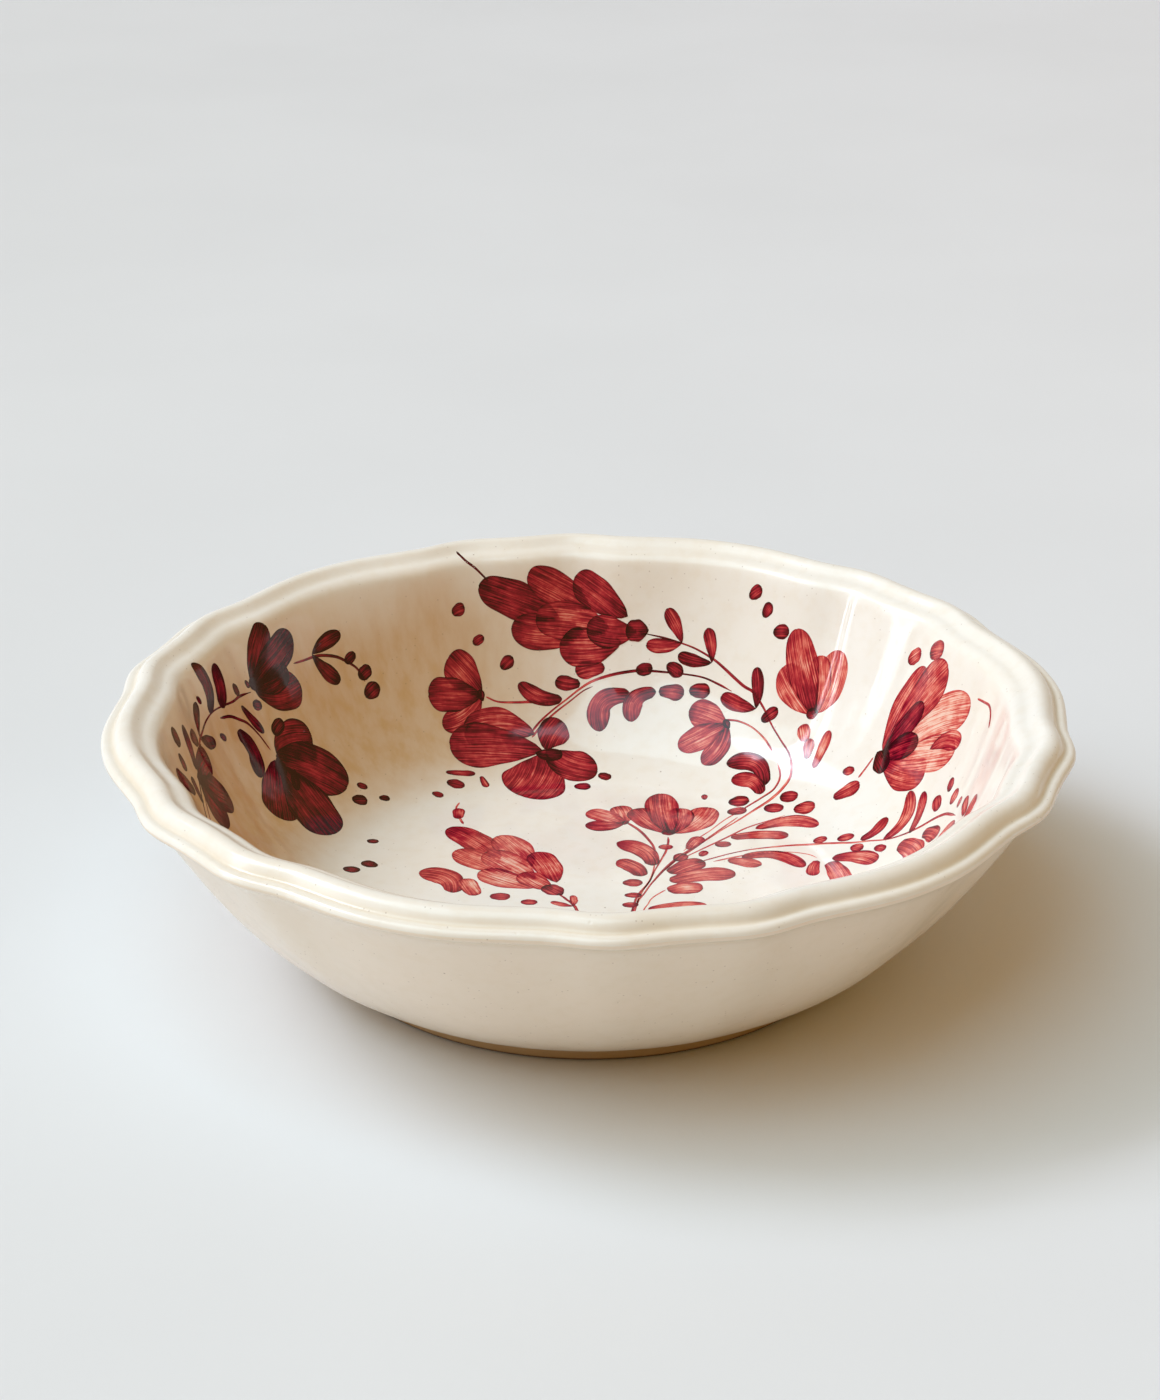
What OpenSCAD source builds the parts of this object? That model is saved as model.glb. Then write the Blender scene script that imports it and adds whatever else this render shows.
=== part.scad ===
// Round serving bowl in glazed earthenware, with a lobed rim and a painted inside.
// It stands on its foot ring at z = 0, with its axis on Z.

/* [Bowl] */
// Diameter across the crests of the lobes
bowl_d = 316; // [300:1:340]
// Height from the table to the top of the rim roll
bowl_h = 84.3; // [80:0.1:92]
// Thickness of the glaze coats
glaze_t = 0.4; // [0.3:0.1:0.6]
// How far the painted strokes stand above the inside glaze
paint_t = 0.2; // [0.2:0.05:0.3]

/* [Foot] */
// Outer diameter of the foot ring
foot_d = 178; // [170:1:182]
// Height of the foot ring
foot_h = 5; // [4:0.5:6]
// Width of the foot ring
foot_w = 8; // [6:0.5:10]

/* [Rim] */
// Radius of the roll round the mouth
roll_r = 4.2; // [3.8:0.1:4.4]
// Radius of the bead below and outside the roll
bead_r = 2; // [1.8:0.1:2.2]
// Number of wide lobes, each followed by a pair of narrow ones
wide_lobes = 6; // [6]
// Half the angle of a wide lobe
wide_half = 15; // [13:1:17]
// Depth of the dip beside a wide lobe
deep_dip = 2.6; // [1.5:0.1:3.5]
// Depth of the dip between two narrow lobes
shallow_dip = 1.5; // [0.8:0.1:2.5]
// Direction of the middle of the first wide lobe
lobe_turn = 10; // [0:1:60]

/* [Hidden] */

clay = "#d9b48a";
glaze = "#efe7d8";
glaze_shade = "#e6dccb";
pigment = "#a32a35";
pigment_dark = "#6d1220";

bowl_r = bowl_d / 2;
foot_r = foot_d / 2;
period = 360 / wide_lobes;
turn_steps = 96;
wall_steps = 6;

// Centres of the roll and the bead in section, as [radius, height]
roll_c = [bowl_r - 8.5, bowl_h - roll_r];
bead_c = [bowl_r - bead_r, bowl_h - 5.9];
// The swelling inside the roll, where the wall turns over into the rim
shoulder_r = 6;
shoulder_c = [roll_c.x - 5, roll_c.y - 4.8];
shoulder_start = 160;
shoulder_middle = 122;
shoulder_end = 82;

// Directions in section where the roll starts and ends and where the bead starts; a shallow
// crease joins the two
roll_start = 128;
roll_end = 10;
bead_start = 125;

// Height of the inside floor, where the lobes fade out on the wall, and how early they do so
floor_z = 10.5;
fade_z = 8;
fade_power = 0.85;

// The painted motifs and stems, placed by hand in millimetres on the inside laid flat, with
// its middle at [0, 0]. The two front sprays repeat the same motifs on the near side.
stem_w = 1.1;
left_spray = [
    ["tulip", -138, 74, 78, 33],
    ["pair", -118, 106, 22, 18],
    ["iris", -118, 58, 0, 30],
    ["pair", -155, 24, 84, 15],
    ["posy", -150, 3, 46, 23],
    ["leaf", -141, 62, 5, 15, 4.2, 0],
    ["leaf", -154, 42, 160, 18, 6.6, -5],
    ["leaf", -151, 50, 140, 15, 8.5, -3],
    ["leaf", -139, 50, -25, 17, 8.4, 5],
    ["leaf", -153, 4, 160, 16, 5.4, -1.6],
    ["leaf", -149, -8, 227, 16, 7, -1],
    ["leaf", -144, -6, 168, 10, 3.6, 0],
    ["dot", -99, 115, 60, 6.4],
    ["dot", -91, 113, 60, 7],
    ["dot", -86, 108, 60, 8],
    ["dot", -141, 73, 0, 3.4],
    ["dot", -146, 65, 0, 5.4],
    ["dot", -133, 70, 45, 5.5],
    ["dot", -121, 70, 80, 8],
    ["dot", -144, 41, 30, 4],
    ["dot", -161, 40, 20, 3.6],
    ["dot", -159, 17, 60, 9],
    ["dot", -168, -2, 20, 8],
    ["dot", -160, -6, 5, 7],
    ["dot", -82, 69, 10, 4.4],
    ["dot", -73, 67, 20, 4.2],
    ["dot", -82, 62, 25, 6.2],
    ["dot", -75, 41, 15, 4.2],
    ["dot", -75, 25, 150, 6.2],
    ["dot", -81, 20, 0, 6],
];
centre_spray = [
    ["posy", -42, 121, 196, 23],
    ["leaf", -10, 124, 165, 18, 6.4, 2.2],
    ["bloom", -17, 103, 188, 34],
    ["leaf", -3, 130, 175, 10, 5.6, 0.6],
    ["leaf", 7, 136, 190, 12, 6.8, -0.6],
    ["leaf", 17, 125, 228, 18, 9, -7],
    ["leaf", 27, 125, 226, 14, 7.4, -4.8],
    ["leaf", 28, 125, -17, 10, 6, 0.6],
    ["leaf", -52, 87, 10, 11, 2.8, 0],
    ["leaf", -39, 88, -65, 6, 2.8, 0],
    ["dot", -48, 82, -5, 6.6],
    ["dot", -54, 75, -10, 4.3],
    ["dot", -2, 85, 0, 6],
    ["dot", 6, 91, -25, 5],
    ["dot", 23, 134, 0, 6.8],
    ["dot", 35, 132, -42, 7.6],
    ["dot", 44, 122, -15, 8.6],
];
back_spray = [
    ["seed_head", 24, 149, 169, 74],
    ["pair", 40, 141, 141, 15],
    ["pair", 51, 131, 124, 14],
    ["pair", 66, 109, 111, 16],
    ["dot", 71, 105, 15, 8],
    ["dot", -57, 150, 30, 6.6],
    ["dot", -46, 141, 40, 5.5],
    ["dot", -33, 135, 50, 6.6],
    ["dot", 76, 151, 12, 7.2],
    ["dot", 80, 143, 30, 6.4],
    ["dot", 84, 133, -20, 8],
];
arch_spray = [
    ["posy", 53, 107, 195, 20],
    ["leaf", 64, 77, 133, 19, 7.4, -6],
    ["leaf", 62, 73, 135, 14, 6.8, -3.6],
    ["dot", 54, 71, -5, 7.5],
    ["dot", 53, 65, 10, 7],
    ["dot", 72, 68, -20, 7],
    ["dot", 66, 64, -20, 7.4],
    ["dot", 42, 76, 90, 3.2],
];
well_spray = [
    ["seed_head", -10, 4, 127, 64],
    ["leaf", -46, 60, 90, 8, 4.6, 0],
    ["leaf", -46, 4, 129, 19, 10.4, -5],
    ["leaf", -38, 2, 110, 13, 7.2, 0],
    ["dot", -30, 1, -5, 6.8],
    ["dot", -20, -3, -5, 5.6],
    ["pair", -5, -6, 125, 8],
];
main_spray = [
    ["posy", 13, 57, 149, 16],
    ["tulip", 29, 48, 93, 31],
    ["leaf", 22, 24, 125, 21, 8.6, -4],
    ["leaf", 18, 16, 126, 14, 7.8, -2],
    ["leaf", 35, 36, 64, 11, 5.2, 0.6],
    ["leaf", 28, 18, 36, 15, 8.6, 1.2],
    ["leaf", 28, 12, 14, 23, 9.6, 2.2],
    ["leaf", 27, 5, 12, 12, 8.4, 1],
    ["leaf", 50, 45, 2, 20, 6.6, 2],
    ["leaf", 59, 52, -9, 22, 6.2, 5],
    ["leaf", 53, 30, -20, 22, 6.8, 6],
    ["leaf", 48, 28, -19, 12, 6.4, 0.6],
    ["leaf", 20, -8, 8, 20, 5, 1.5],
    ["dot", 27, 38, 0, 5.2],
    ["dot", 15, 11, 0, 6.8],
    ["dot", 15, 2, 0, 5.8],
    ["dot", 14, -5, 0, 5.4],
    ["dot", 32, 30, 58, 6.4],
    ["dot", 40, 33, 62, 4.8],
    ["dot", 47, 40, 10, 5.8],
];
side_spray = [
    ["leaf", 88, 60, 0, 11, 6, 0],
    ["leaf", 95, 33, 20, 12, 5, -1.5],
    ["leaf", 103, 27, 42, 20, 6, -4.5],
    ["leaf", 113, 21, 53, 17, 4.4, -1.2],
    ["leaf", 84, 27, -36, 18, 7, 2.6],
    ["leaf", 83, 25, -78, 16, 8, 0.5],
    ["leaf", 79, 27, -102, 11, 4.6, -0.8],
    ["leaf", 108, 19, -68, 16, 9, 1.4],
    ["leaf", 118, 15, -62, 11, 6.6, 1],
    ["leaf", 121, -1, 0, 12, 8, 1.5],
    ["leaf", 122, -3, -40, 12, 6, 0],
    ["leaf", 139, -5, 82, 11, 5, 0],
    ["leaf", 138, -8, 5, 10, 7, 0],
    ["dot", 77, 60, -15, 8],
    ["dot", 96, 68, -25, 5],
    ["dot", 81, 40, 0, 5.2],
    ["dot", 90, 37, -15, 6.4],
    ["dot", 93, 29, -45, 5.4],
    ["dot", 101, 23, -50, 5.6],
    ["dot", 127, 23, 80, 7.2],
    ["dot", 135, 24, 50, 5.6],
    ["dot", 135, 16, 30, 6.2],
    ["dot", 137, 9, 40, 4.4],
];
right_spray = [
    ["plume", 110, 65, -15, 52],
    ["tulip", 88, 97, 82, 32],
    ["leaf", 82, 89, 85, 7, 5.4, 0],
    ["leaf", 81, 82, 67, 8, 4.6, 0],
    ["leaf", 83, 77, 49, 15, 4.6, 0],
    ["dot", 139, 88, -15, 8],
    ["dot", 152, 79, -38, 11.5],
];
front_left_spray = [
    ["tulip", -110, -62, 195, 30],
    ["pair", -128, -28, 205, 16],
    ["pair", -92, -84, 245, 14],
    ["posy", -76, -66, 62, 22],
    ["iris", -44, -112, -78, 28],
    ["leaf", -118, -46, 60, 16, 6, 3],
    ["leaf", -66, -98, 228, 18, 7, -4],
    ["leaf", -28, -92, 100, 15, 6, 3],
    ["dot", -100, -72, 20, 7],
    ["dot", -84, -90, 60, 6],
    ["dot", -55, -84, 10, 6],
    ["dot", -48, -80, 40, 5],
    ["dot", -141, -46, 70, 7],
    ["dot", -70, -130, 20, 8],
    ["dot", -80, -124, 40, 6],
];
front_right_spray = [
    ["seed_head", 32, -92, -62, 62],
    ["tulip", 116, -76, -22, 30],
    ["bloom", 72, -72, 10, 28],
    ["pair", 12, -46, 92, 14],
    ["pair", 98, -98, -70, 15],
    ["leaf", 22, -66, 20, 20, 7, 4],
    ["leaf", 6, -66, 160, 18, 7, -4],
    ["leaf", 80, -116, -100, 18, 7, -4],
    ["leaf", 4, -92, 200, 16, 6, 3],
    ["dot", 4, -52, 20, 6],
    ["dot", 88, -104, 30, 7],
    ["dot", 12, -104, 60, 7],
    ["dot", 4, -112, 40, 6],
    ["dot", 112, -44, 10, 7],
    ["dot", 120, -38, 40, 6],
];
stems = [
    [[-125, 97], [-120, 102], [-116, 106], [-112, 109], [-106, 112], [-101, 113], [-95, 113],
     [-90, 110]],
    [[-138, 72], [-143, 65], [-146, 59], [-150, 52], [-153, 45], [-154, 38], [-154, 30],
     [-155, 22], [-154, 12], [-152, 5], [-148, -1], [-140, -12], [-128, -28], [-116, -48],
     [-100, -70], [-84, -88], [-64, -102], [-44, -110]],
    [[-121, 59], [-128, 60], [-135, 59], [-140, 56], [-145, 52], [-149, 46]],
    [[-40, 121], [-35, 120], [-28, 121], [-22, 122], [-16, 122]],
    [[-22, 109], [-18, 115], [-13, 120], [-8, 124], [-3, 128], [2, 131], [8, 133], [14, 134],
     [22, 134], [31, 132], [38, 130], [46, 127], [52, 123], [57, 119]],
    [[-61, 173], [-57, 169], [-52, 167], [-46, 164]],
    [[23, 148], [29, 146], [34, 144], [40, 141], [45, 138], [50, 134], [54, 130], [62, 120],
     [66, 116], [69, 109], [71, 101], [73, 94], [75, 86], [74, 78], [70, 73], [65, 69], [58, 64],
     [50, 55], [43, 46], [37, 38], [31, 30], [26, 21], [22, 12], [19, 4], [16, -5], [14, -20],
     [12, -36], [13, -54], [18, -70], [30, -90]],
    [[53, 109], [58, 107], [63, 103], [67, 97], [69, 91]],
    [[-46, 72], [-47, 68], [-46, 63], [-45, 59], [-44, 56]],
    [[-10, 3], [-8, 0], [-5, -5], [-3, -12], [1, -24]],
    [[14, 57], [18, 51], [21, 44], [23, 37], [23, 28]],
    [[134, 4], [132, 8], [129, 13], [124, 17], [117, 20], [110, 23], [104, 26], [98, 30], [92, 33],
     [86, 36], [80, 38], [72, 39], [64, 38], [56, 36], [49, 33], [42, 29], [37, 26]],
    [[99, 63], [103, 65], [107, 67]],
    [[161, 41], [163, 36], [165, 30], [164, 25], [161, 21]],
    [[20, -70], [28, -72], [42, -74], [56, -74], [70, -72]],
    [[32, -91], [46, -100], [64, -106], [82, -106], [98, -98], [110, -84], [116, -76]],
];

function arc_points(c, r, a0, a1, n) =
    [for (i = [0:n]) let (a = a0 + (a1 - a0) * i / n) c + r * [cos(a), sin(a)]];

function bezier(p, n) =
    [for (i = [0:n]) let (t = i / n)
        pow(1 - t, 3) * p[0] + 3 * pow(1 - t, 2) * t * p[1] + 3 * (1 - t) * t * t * p[2] + pow(t, 3) * p[3]];

function reversed(list) = [for (i = [len(list) - 1:-1:0]) list[i]];

// How far the dips between the lobes draw the rim inwards at angle a
function dip(a) =
    let (
        turned = a - lobe_turn + 360,
        from_crest = period / 2 - abs(turned % period - period / 2),
        narrow = period / 2 - wide_half,
        u = (from_crest - wide_half) / narrow
    )
    from_crest < wide_half
        ? deep_dip * pow(0.5 - 0.5 * cos(180 * from_crest / wide_half), 1.3)
        : (deep_dip + (shallow_dip - deep_dip) * u) * (0.5 + 0.5 * cos(360 * u));

// The share of the dip that a point at height z takes
function fade(z) = pow(max(0, min(1, (z - fade_z) / (bead_c.y - fade_z))), fade_power);

function on_bowl(p, a) =
    let (r = p.x - dip(a) * fade(p.y)) [r * cos(a), r * sin(a), p.y];

// Finished inside, from the floor's centre over the roll to the widest line of the bead
inner_wall = bezier([
    [floor_z + 71.5, floor_z], [114.5, 14.5], [129.5, 47],
    arc_points(shoulder_c, shoulder_r, shoulder_start, shoulder_end, 1)[0]
], wall_steps);
inner_section = concat(
    [[0, floor_z], [50, floor_z]],
    inner_wall,
    arc_points(shoulder_c, shoulder_r, shoulder_middle, shoulder_end, 1),
    arc_points(roll_c, roll_r, roll_start, roll_end, 4),
    arc_points(bead_c, bead_r, bead_start, 0, 3)
);

// Finished outside, from the widest line of the bead down to the top of the foot
outer_wall = bezier([
    [bead_c.x - 3.8, bead_c.y - bead_r - 1.8], [132, 42], [117.5, 18], [foot_r + 1.5, foot_h]
], wall_steps);
outer_section = concat(arc_points(bead_c, bead_r, 0, -100, 2), outer_wall);

// A section moved d into the material that lies on its right-hand side
function inset(section, d) =
    [for (i = [0:len(section) - 1]) let (
        before = section[max(i - 1, 0)],
        after = section[min(i + 1, len(section) - 1)],
        along = (after - before) / norm(after - before)
    ) section[i] + d * [section[i].x == 0 ? 0 : along.y, -along.x]];

// One solid turned from a closed section, with each ring following the lobes
module lobed_ring(section) {
    n = len(section);
    m = turn_steps;
    points = [for (j = [0:m - 1]) for (p = section) on_bowl(p, j * 360 / m)];
    faces = [for (j = [0:m - 1]) for (i = [0:n - 1]) let (
        a = j * n + i,
        b = j * n + (i + 1) % n,
        c = ((j + 1) % m) * n + (i + 1) % n,
        d = ((j + 1) % m) * n + i
    ) each [[a, b, c], [a, c, d]]];
    polyhedron(points, faces, convexity = 6);
}

// One solid turned from an open section whose two ends are on the axis
module lobed_dish(section) {
    n = len(section) - 2;
    m = turn_steps;
    rings = [for (i = [1:n]) section[i]];
    low = m * n;
    high = low + 1;
    points = concat(
        [for (j = [0:m - 1]) for (p = rings) on_bowl(p, j * 360 / m)],
        [[0, 0, section[0].y], [0, 0, section[n + 1].y]]
    );
    sides = [for (j = [0:m - 1]) for (i = [0:n - 2]) let (
        a = j * n + i,
        b = a + 1,
        c = ((j + 1) % m) * n + i + 1,
        d = c - 1
    ) each [[a, b, c], [a, c, d]]];
    ends = [for (j = [0:m - 1]) let (next = ((j + 1) % m) * n) each [
        [low, j * n, next],
        [high, next + n - 1, j * n + n - 1]
    ]];
    polyhedron(points, concat(sides, ends), convexity = 6);
}

// The painting. A point of it is [x, y] on the inside laid flat: its distance from the middle is
// measured along the section, and its direction is kept.
function run_to(section, i) = i == 0 ? 0 : run_to(section, i - 1) + norm(section[i] - section[i - 1]);
run = [for (i = [0:len(inner_section) - 1]) run_to(inner_section, i)];

// Tables of radius and height against that distance, for the two faces of the paint
paint_sink = 0.15;
paint_top = inset(inner_section, -paint_t);
paint_under = inset(inner_section, paint_sink);
top_r = [for (i = [0:len(run) - 1]) [run[i], paint_top[i].x]];
top_z = [for (i = [0:len(run) - 1]) [run[i], paint_top[i].y]];
under_r = [for (i = [0:len(run) - 1]) [run[i], paint_under[i].x]];
under_z = [for (i = [0:len(run) - 1]) [run[i], paint_under[i].y]];

function above(p) = on_bowl([lookup(norm(p), top_r), lookup(norm(p), top_z)], atan2(p.y, p.x));
function below(p) = on_bowl([lookup(norm(p), under_r), lookup(norm(p), under_z)], atan2(p.y, p.x));

function heading(a) = [cos(a), sin(a)];
function leftward(a) = [-sin(a), cos(a)];

// One stroke runs from its thin start at [x, y]: [x, y, turn, length, width, bend, fattest share].
// A positive bend bulges to the left of the way it runs.
stroke_stations = [0.06, 0.4, 0.75, 0.97];
dot_stations = [0.08, 0.5, 0.92];
function middle_at(s, t) =
    [s[0], s[1]] + heading(s[2]) * s[3] * t + leftward(s[2]) * s[5] * 4 * t * (1 - t);
function half_at(s, t) =
    s[4] / 2 * pow(max(0, sin(180 * pow(t, ln(0.5) / ln(s[6])))), 0.7);

// A thin solid on the glaze between two edges that have the same number of points
module patch(left, right) {
    n = len(left);
    points = concat(
        [for (p = left) above(p)], [for (p = right) above(p)],
        [for (p = left) below(p)], [for (p = right) below(p)]
    );
    faces = concat(
        [for (i = [0:n - 2]) each [
            [i, i + 1, n + i + 1], [i, n + i + 1, n + i],
            [2 * n + i, 3 * n + i + 1, 2 * n + i + 1], [2 * n + i, 3 * n + i, 3 * n + i + 1],
            [i, 2 * n + i + 1, i + 1], [i, 2 * n + i, 2 * n + i + 1],
            [n + i, n + i + 1, 3 * n + i + 1], [n + i, 3 * n + i + 1, 3 * n + i]
        ]],
        [[0, n, 3 * n], [0, 3 * n, 2 * n]],
        [[n - 1, 4 * n - 1, 2 * n - 1], [n - 1, 3 * n - 1, 4 * n - 1]]
    );
    polyhedron(points, faces, convexity = 4);
}

module stroke(s, stations) {
    patch(
        [for (t = stations) middle_at(s, t) + leftward(s[2]) * half_at(s, t)],
        [for (t = stations) middle_at(s, t) - leftward(s[2]) * half_at(s, t)]
    );
}

module stem(points) {
    n = len(points);
    sides = [for (i = [0:n - 1]) let (
        way = points[min(i + 1, n - 1)] - points[max(i - 1, 0)]
    ) stem_w / 2 * [-way.y, way.x] / norm(way)];
    patch([for (i = [0:n - 1]) points[i] + sides[i]], [for (i = [0:n - 1]) points[i] - sides[i]]);
}

// A flower's outline round its base: at each angle it reaches as far as the longest petal there.
// A petal is [turn, length, width], with the lengths as shares of the flower's size.
petal_belly = 0.77;
petal_spread = 1.25;
petal_bluntness = 0.35;
function petal_reach(petal, a) =
    let (
        half = petal_spread * atan(petal_belly * petal[2] / petal[1]),
        off = abs(a - petal[0]) / half
    )
    off < 1 ? petal[1] * pow(1 - off * off, petal_bluntness) : 0;
function reach(petals, a) = max([for (p = petals) petal_reach(p, a)]);

// The solid of a flower is a fan of patches from its base, as one polyhedron
module flower(x, y, turn, size, petals, first, last) {
    steps = ceil((last - first) / 15);
    rim = [for (i = [0:steps]) let (a = first + (last - first) * i / steps)
        [x, y] + heading(turn + a) * size * max(0.12, reach(petals, a))];
    outline = concat([[x, y]], rim);
    n = len(outline);
    points = concat([for (p = outline) above(p)], [for (p = outline) below(p)]);
    faces = concat(
        [for (i = [1:n - 2]) each [[0, i + 1, i], [n, n + i, n + i + 1]]],
        [for (i = [0:n - 1]) let (j = (i + 1) % n) each [[i, j, n + j], [i, n + j, n + i]]]
    );
    polyhedron(points, faces, convexity = 6);
}

tulip_petals = [[24, 0.72, 0.36], [0, 1, 0.4], [-34, 0.76, 0.4]];
posy_petals = [[28, 0.85, 0.42], [0, 1, 0.5], [-46, 0.8, 0.44]];
iris_petals = [[56, 0.78, 0.5], [14, 1, 0.55], [-38, 1, 0.6], [-68, 0.8, 0.55]];
bloom_petals = [[0, 1, 0.5], [67, 0.65, 0.6], [148, 0.62, 0.38]];
plume_petals = [[31, 0.62, 0.24], [10, 0.8, 0.3], [-11, 1, 0.27], [-32, 0.6, 0.2]];

// A painted motif is ["kind", x, y, turn, size], and a leaf adds its width and bend
module motif(m) {
    kind = m[0];
    x = m[1];
    y = m[2];
    turn = m[3];
    size = m[4];
    if (kind == "tulip") flower(x, y, turn, size, tulip_petals, -65, 45);
    if (kind == "posy") flower(x, y, turn, size, posy_petals, -75, 55);
    if (kind == "iris") flower(x, y, turn, size, iris_petals, -100, 85);
    if (kind == "bloom") flower(x, y, turn, size, bloom_petals, -30, 170);
    if (kind == "plume") flower(x, y, turn, size, plume_petals, -50, 48);
    if (kind == "seed_head") stroke([x, y, turn, size, 0.36 * size, 0, 0.45], stroke_stations);
    if (kind == "pair") for (side = [-1, 1]) let (a = turn + 34 * side, start = [x, y] + 0.1 * size * heading(a))
        stroke([start.x, start.y, a, size * 0.9, 0.36 * size, 0, 0.65], stroke_stations);
    if (kind == "leaf") stroke([x, y, turn, size, m[5], m[6], 0.65], stroke_stations);
    if (kind == "dot") let (start = [x, y] - size / 2 * heading(turn))
        stroke([start.x, start.y, turn, size, 0.7 * size, 0, 0.5], dot_stations);
}

module spray(motifs) {
    for (m = motifs) motif(m);
}

module clay_body() {
    inside = inset(inner_section, glaze_t);
    outside = inset(outer_section, glaze_t);
    under = [[0, foot_h], [foot_r - foot_w, foot_h]];
    upward = [for (i = [len(outside) - 1:-1:1]) outside[i]];
    color(clay) lobed_dish(concat(under, upward, reversed(inside)));
}

module foot_ring() {
    color(clay) rotate_extrude($fn = 96)
        polygon([
            [foot_r - foot_w, foot_h],
            [foot_r - foot_w + 0.8, 0.8],
            [foot_r - foot_w + 1.6, 0],
            [foot_r - 2, 0],
            [foot_r - 0.8, 0.9],
            [foot_r, foot_h]
        ]);
}

module inner_glaze() {
    color(glaze) lobed_dish(concat(inset(inner_section, glaze_t), reversed(inner_section)));
}

module outer_glaze() {
    color(glaze_shade) lobed_ring(concat(outer_section, reversed(inset(outer_section, glaze_t))));
}

module base_glaze() {
    color(glaze_shade) translate([0, 0, foot_h - glaze_t])
        cylinder(r = foot_r - foot_w - 0.3, h = glaze_t, $fn = 96);
}

module painted_stems() {
    color(pigment) for (points = stems) stem(points);
}

module painted_left_spray() {
    color(pigment_dark) spray(left_spray);
}

module painted_centre_spray() {
    color(pigment) spray(centre_spray);
}

module painted_back_spray() {
    color(pigment_dark) spray(back_spray);
}

module painted_arch_spray() {
    color(pigment) spray(arch_spray);
}

module painted_well_spray() {
    color(pigment) spray(well_spray);
}

module painted_main_spray() {
    color(pigment) spray(main_spray);
}

module painted_side_spray() {
    color(pigment) spray(side_spray);
}

module painted_right_spray() {
    color(pigment) spray(right_spray);
}

module painted_front_left_spray() {
    color(pigment) spray(front_left_spray);
}

module painted_front_right_spray() {
    color(pigment) spray(front_right_spray);
}

clay_body();
foot_ring();
inner_glaze();
outer_glaze();
base_glaze();
painted_stems();
painted_left_spray();
painted_centre_spray();
painted_back_spray();
painted_arch_spray();
painted_well_spray();
painted_main_spray();
painted_side_spray();
painted_right_spray();
painted_front_left_spray();
painted_front_right_spray();
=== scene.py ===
"""Looks for the glazed serving bowl: dense glaze coats, brush-painted sprays, a plain pale set."""
import math

import bpy
import numpy as np
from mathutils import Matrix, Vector


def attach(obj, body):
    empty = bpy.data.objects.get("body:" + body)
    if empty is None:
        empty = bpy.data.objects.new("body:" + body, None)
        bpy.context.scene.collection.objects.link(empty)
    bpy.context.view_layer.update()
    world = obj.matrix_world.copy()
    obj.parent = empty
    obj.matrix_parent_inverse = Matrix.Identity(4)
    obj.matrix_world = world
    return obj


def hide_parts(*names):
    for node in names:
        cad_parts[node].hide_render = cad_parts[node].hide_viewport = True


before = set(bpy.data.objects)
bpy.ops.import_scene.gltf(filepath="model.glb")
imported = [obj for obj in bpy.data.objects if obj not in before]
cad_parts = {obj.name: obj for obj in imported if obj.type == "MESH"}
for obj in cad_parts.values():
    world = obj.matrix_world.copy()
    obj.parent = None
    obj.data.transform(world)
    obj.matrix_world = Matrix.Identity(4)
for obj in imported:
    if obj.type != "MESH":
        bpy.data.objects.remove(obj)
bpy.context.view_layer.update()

MM = 0.001
rng = np.random.default_rng(7)

# ---------------------------------------------------------------- driving dimensions, mm
# The same values as the part's, so that each dense surface lies on its CAD node.
BOWL_D = 316.0
BOWL_H = 84.3
GLAZE_T = 0.4
FOOT_D = 178.0
FOOT_H = 5.0
FOOT_W = 8.0
ROLL_R = 4.2
BEAD_R = 2.0
WIDE_LOBES = 6
WIDE_HALF = 15.0
DEEP_DIP = 2.6
SHALLOW_DIP = 1.5
LOBE_TURN = 10.0

# The floor's height, where and how fast the lobes fade out down the wall, the directions in section
# where the roll and the bead start and end, and their centres
BOWL_R = BOWL_D / 2
FOOT_R = FOOT_D / 2
PERIOD = 360 / WIDE_LOBES
FLOOR_Z = 10.5
FADE_Z = 8.0
FADE_POWER = 0.85
ROLL_START = 128.0
ROLL_END = 10.0
BEAD_START = 125.0
ROLL_C = np.array([BOWL_R - 8.5, BOWL_H - ROLL_R])
BEAD_C = np.array([BOWL_R - BEAD_R, BOWL_H - 5.9])

# The swelling inside the roll, where the wall turns over into the rim
SHOULDER_R = 6.0
SHOULDER_C = ROLL_C - (5.0, 4.8)
SHOULDER_START = 160.0
SHOULDER_END = 82.0

# The radii at which the floor's evenly spaced rings end and the wall's curve starts
FLOOR_R = 78.0
WALL_START_R = 82.0

# Points round the bowl, and how many times the section is smoothed as glaze flows into creases
TURN_STEPS = 360
GLAZE_FLOW = 6


# ---------------------------------------------------------------- the bowl's surfaces
def arc(centre, radius, start, end, steps):
    """Points on an arc, as rows of [radius, height]. Its directions are in degrees."""
    a = np.radians(np.linspace(start, end, steps + 1))
    return centre + radius * np.stack([np.cos(a), np.sin(a)], -1)


def bezier(points, steps):
    """Points on a cubic curve with four control points."""
    t = np.linspace(0, 1, steps + 1)[:, None]
    p = np.array(points, float)
    return (1 - t) ** 3 * p[0] + 3 * (1 - t) ** 2 * t * p[1] + 3 * (1 - t) * t * t * p[2] + t ** 3 * p[3]


def smooth_step(low, high, x):
    """0 below low, 1 above high, with a soft rise between them."""
    u = np.clip((x - low) / (high - low), 0, 1)
    return u * u * (3 - 2 * u)


def dip(angle):
    """How far the dips between the lobes draw the rim inwards, at an angle in degrees."""
    turned = np.mod(angle - LOBE_TURN, PERIOD)
    from_crest = PERIOD / 2 - np.abs(turned - PERIOD / 2)
    u = (from_crest - WIDE_HALF) / (PERIOD / 2 - WIDE_HALF)
    wide = DEEP_DIP * np.power(0.5 - 0.5 * np.cos(np.pi * np.minimum(from_crest / WIDE_HALF, 1)), 1.3)
    narrow = (DEEP_DIP + (SHALLOW_DIP - DEEP_DIP) * u) * (0.5 + 0.5 * np.cos(2 * np.pi * u))
    return np.where(from_crest < WIDE_HALF, wide, narrow)


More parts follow.
